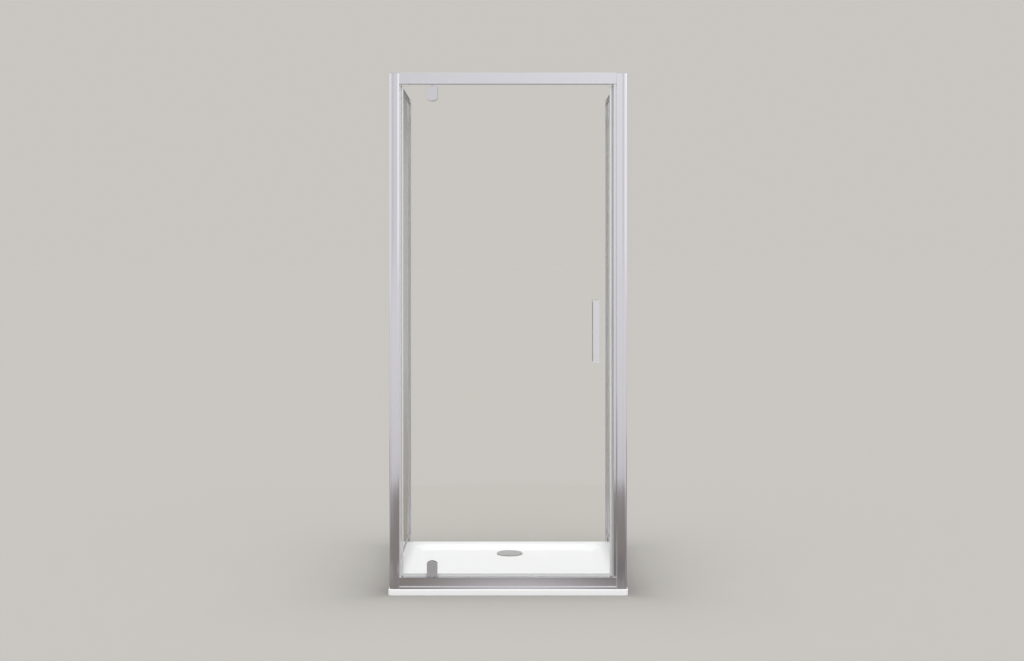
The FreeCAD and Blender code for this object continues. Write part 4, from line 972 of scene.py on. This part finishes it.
screws = {
    "ring": 24,
    "headOutline": [
        (0.58, 1.0), (0.80, 0.95), (0.93, 0.80), (0.99, 0.55), (1.0, 0.12), (0.97, 0.0),
    ],
    "crossReach": 0.558,
    "crossWidth": 0.17,
    "crossDepth": 0.55,
    "crossTaper": 0.86,
    "tipLength": 0.9,
    "tipTaper": 0.45,
    "crease": 30,
    "spin": 360,
    "firstSeed": 3,
    "sets": {
        "jamb_screws": {"looks": (0, 1, 0), "head": 2.0, "shank": 1.75},
        "panel_screws_left": {"looks": (1, 0, 0), "head": 1.6, "shank": 1.45},
        "panel_screws_right": {"looks": (-1, 0, 0), "head": 1.6, "shank": 1.45},
        "clamp_screws": {"looks": (0, 1, 0), "head": 2.8, "shank": 2.5},
    },
}


def crossCorners():
    reach, half = screws["crossReach"], screws["crossWidth"]
    corners = []
    for turn in range(4):
        c, s = math.cos(turn * math.pi / 2), math.sin(turn * math.pi / 2)
        for x, y in ((reach, -half), (reach, half), (half, half)):
            corners.append((c * x - s * y, s * x + c * y))
    return corners


def screwMesh(head, shank, length, tip):
    # The head looks along +Z with its seat at Z 0. All sizes are in head radii.
    work = bmesh.new()
    around = screws["ring"]
    profile = [(r, head * z) for r, z in screws["headOutline"]]
    profile += [(shank, 0.0), (shank, tip - length), (shank * screws["tipTaper"], -length)]
    turns = [2 * math.pi * i / around for i in range(around)]
    rings = []
    for r, z in profile:
        places = [(r * math.cos(turn), r * math.sin(turn), z) for turn in turns]
        rings.append([work.verts.new(place) for place in places])
    for upper, lower in zip(rings, rings[1:]):
        for i in range(around):
            j = (i + 1) % around
            work.faces.new((upper[i], lower[i], lower[j], upper[j]))
    work.faces.new(list(reversed(rings[-1])))
    corners, taper = crossCorners(), screws["crossTaper"]
    floor = head * (1 - screws["crossDepth"])
    top = [work.verts.new((x, y, head)) for x, y in corners]
    sunk = [work.verts.new((x * taper, y * taper, floor)) for x, y in corners]
    for i in range(len(top)):
        j = (i + 1) % len(top)
        work.faces.new((top[i], top[j], sunk[j], sunk[i]))
    work.faces.new(sunk)
    rim = [work.edges.get((rings[0][i], rings[0][(i + 1) % around])) for i in range(around)]
    mouth = [work.edges.get((top[i], top[(i + 1) % len(top)])) for i in range(len(top))]
    bmesh.ops.triangle_fill(work, use_beauty=True, use_dissolve=False, edges=rim + mouth)
    bmesh.ops.recalc_face_normals(work, faces=work.faces)
    for face in work.faces:
        face.smooth = True
    for edge in sharpEdges(work, screws["crease"]):
        edge.smooth = False
    return finishedMesh(work, "screwShape")


def screwTree():
    tree = bpy.data.node_groups.new("screwRow", "GeometryNodeTree")
    face = tree.interface
    face.new_socket(name="Geometry", in_out="OUTPUT", socket_type="NodeSocketGeometry")
    for name, kind in (
        ("Geometry", "NodeSocketGeometry"),
        ("Screw", "NodeSocketObject"),
        ("Head Radius", "NodeSocketFloat"),
        ("Direction", "NodeSocketVector"),
        ("Spin", "NodeSocketFloat"),
        ("Seed", "NodeSocketInt"),
        ("Finish", "NodeSocketMaterial"),
    ):
        face.new_socket(name=name, in_out="INPUT", socket_type=kind)
    given = addNode(tree, "NodeGroupInput")
    source = addNode(tree, "GeometryNodeObjectInfo", transform_space="ORIGINAL")
    link(tree, given.outputs["Screw"], source.inputs["Object"])
    aim = addNode(tree, "FunctionNodeAlignRotationToVector", axis="Z")
    link(tree, given.outputs["Direction"], aim.inputs["Vector"])
    spin = addNode(tree, "FunctionNodeRandomValue", data_type="FLOAT")
    link(tree, given.outputs["Spin"], spin.inputs[3])  # its largest value
    link(tree, given.outputs["Seed"], spin.inputs["Seed"])
    turn = addNode(tree, "ShaderNodeCombineXYZ")
    link(tree, spin.outputs[1], turn.inputs["Z"])
    roll = addNode(tree, "FunctionNodeEulerToRotation")
    link(tree, turn.outputs["Vector"], roll.inputs["Euler"])
    both = addNode(tree, "FunctionNodeRotateRotation", rotation_space="LOCAL")
    link(tree, aim.outputs["Rotation"], both.inputs["Rotation"])
    link(tree, roll.outputs["Rotation"], both.inputs["Rotate By"])
    placed = addNode(tree, "GeometryNodeInstanceOnPoints")
    link(tree, given.outputs["Geometry"], placed.inputs["Points"])
    link(tree, source.outputs["Geometry"], placed.inputs["Instance"])
    link(tree, both.outputs["Rotation"], placed.inputs["Rotation"])
    link(tree, given.outputs["Head Radius"], placed.inputs["Scale"])
    real = addNode(tree, "GeometryNodeRealizeInstances")
    link(tree, placed.outputs["Instances"], real.inputs["Geometry"])
    finish = addNode(tree, "GeometryNodeSetMaterial")
    link(tree, real.outputs["Geometry"], finish.inputs["Geometry"])
    link(tree, given.outputs["Finish"], finish.inputs["Material"])
    result = addNode(tree, "NodeGroupOutput")
    link(tree, finish.outputs["Geometry"], result.inputs["Geometry"])
    return tree


def socketId(tree, name):
    for item in tree.interface.items_tree:
        if item.item_type == "SOCKET" and item.in_out == "INPUT" and item.name == name:
            return item.identifier


def screwFit(low, high, looks, head):
    # Where a screw's head sits, how long the screw is and how wide its head is from the middle.
    seat = (low + high) / 2
    axis = max(range(3), key=lambda i: abs(looks[i]))
    end = high[axis] if looks[axis] > 0 else low[axis]
    seat[axis] = end - looks[axis] * head
    return seat, high[axis] - low[axis], (high.z - low.z) / 2


def screwPiece(tree, node, kind, seed):
    head, shank, tip = kind["head"] / 1000, kind["shank"] / 1000, screws["tipLength"] / 1000
    fits = [screwFit(low, high, kind["looks"], head) for low, high in solidBoxes(node)]
    whole, radius = fits[0][1:]
    shape = screwMesh(head / radius, shank / radius, (whole - head) / radius, tip / radius)
    source = bpy.data.objects.new("screwSource", shape)
    places = bpy.data.meshes.new("screwPlaces")
    places.from_pydata([fit[0] for fit in fits], [], [])
    holder = bpy.data.objects.new("screwHolder", places)
    for extra in (source, holder):
        scene.collection.objects.link(extra)
    row = holder.modifiers.new("screws", "NODES")
    row.node_group = tree
    inputs = {
        "Screw": source,
        "Head Radius": radius,
        "Direction": kind["looks"],
        "Spin": math.radians(screws["spin"]),
        "Seed": seed,
        "Finish": finishOf[node],
    }
    for name, value in inputs.items():
        row[socketId(tree, name)] = value
    bpy.context.view_layer.update()
    ready = holder.evaluated_get(bpy.context.evaluated_depsgraph_get())
    mesh = bpy.data.meshes.new_from_object(ready)
    mesh.name = node + "Pan"
    holder.modifiers.remove(row)
    for extra in (holder, source):
        bpy.data.objects.remove(extra)
    addPiece(node + "Pan", mesh, node)


screwRow = screwTree()
for seed, (node, kind) in enumerate(screws["sets"].items(), screws["firstSeed"]):
    screwPiece(screwRow, node, kind, seed)
print("screws done")
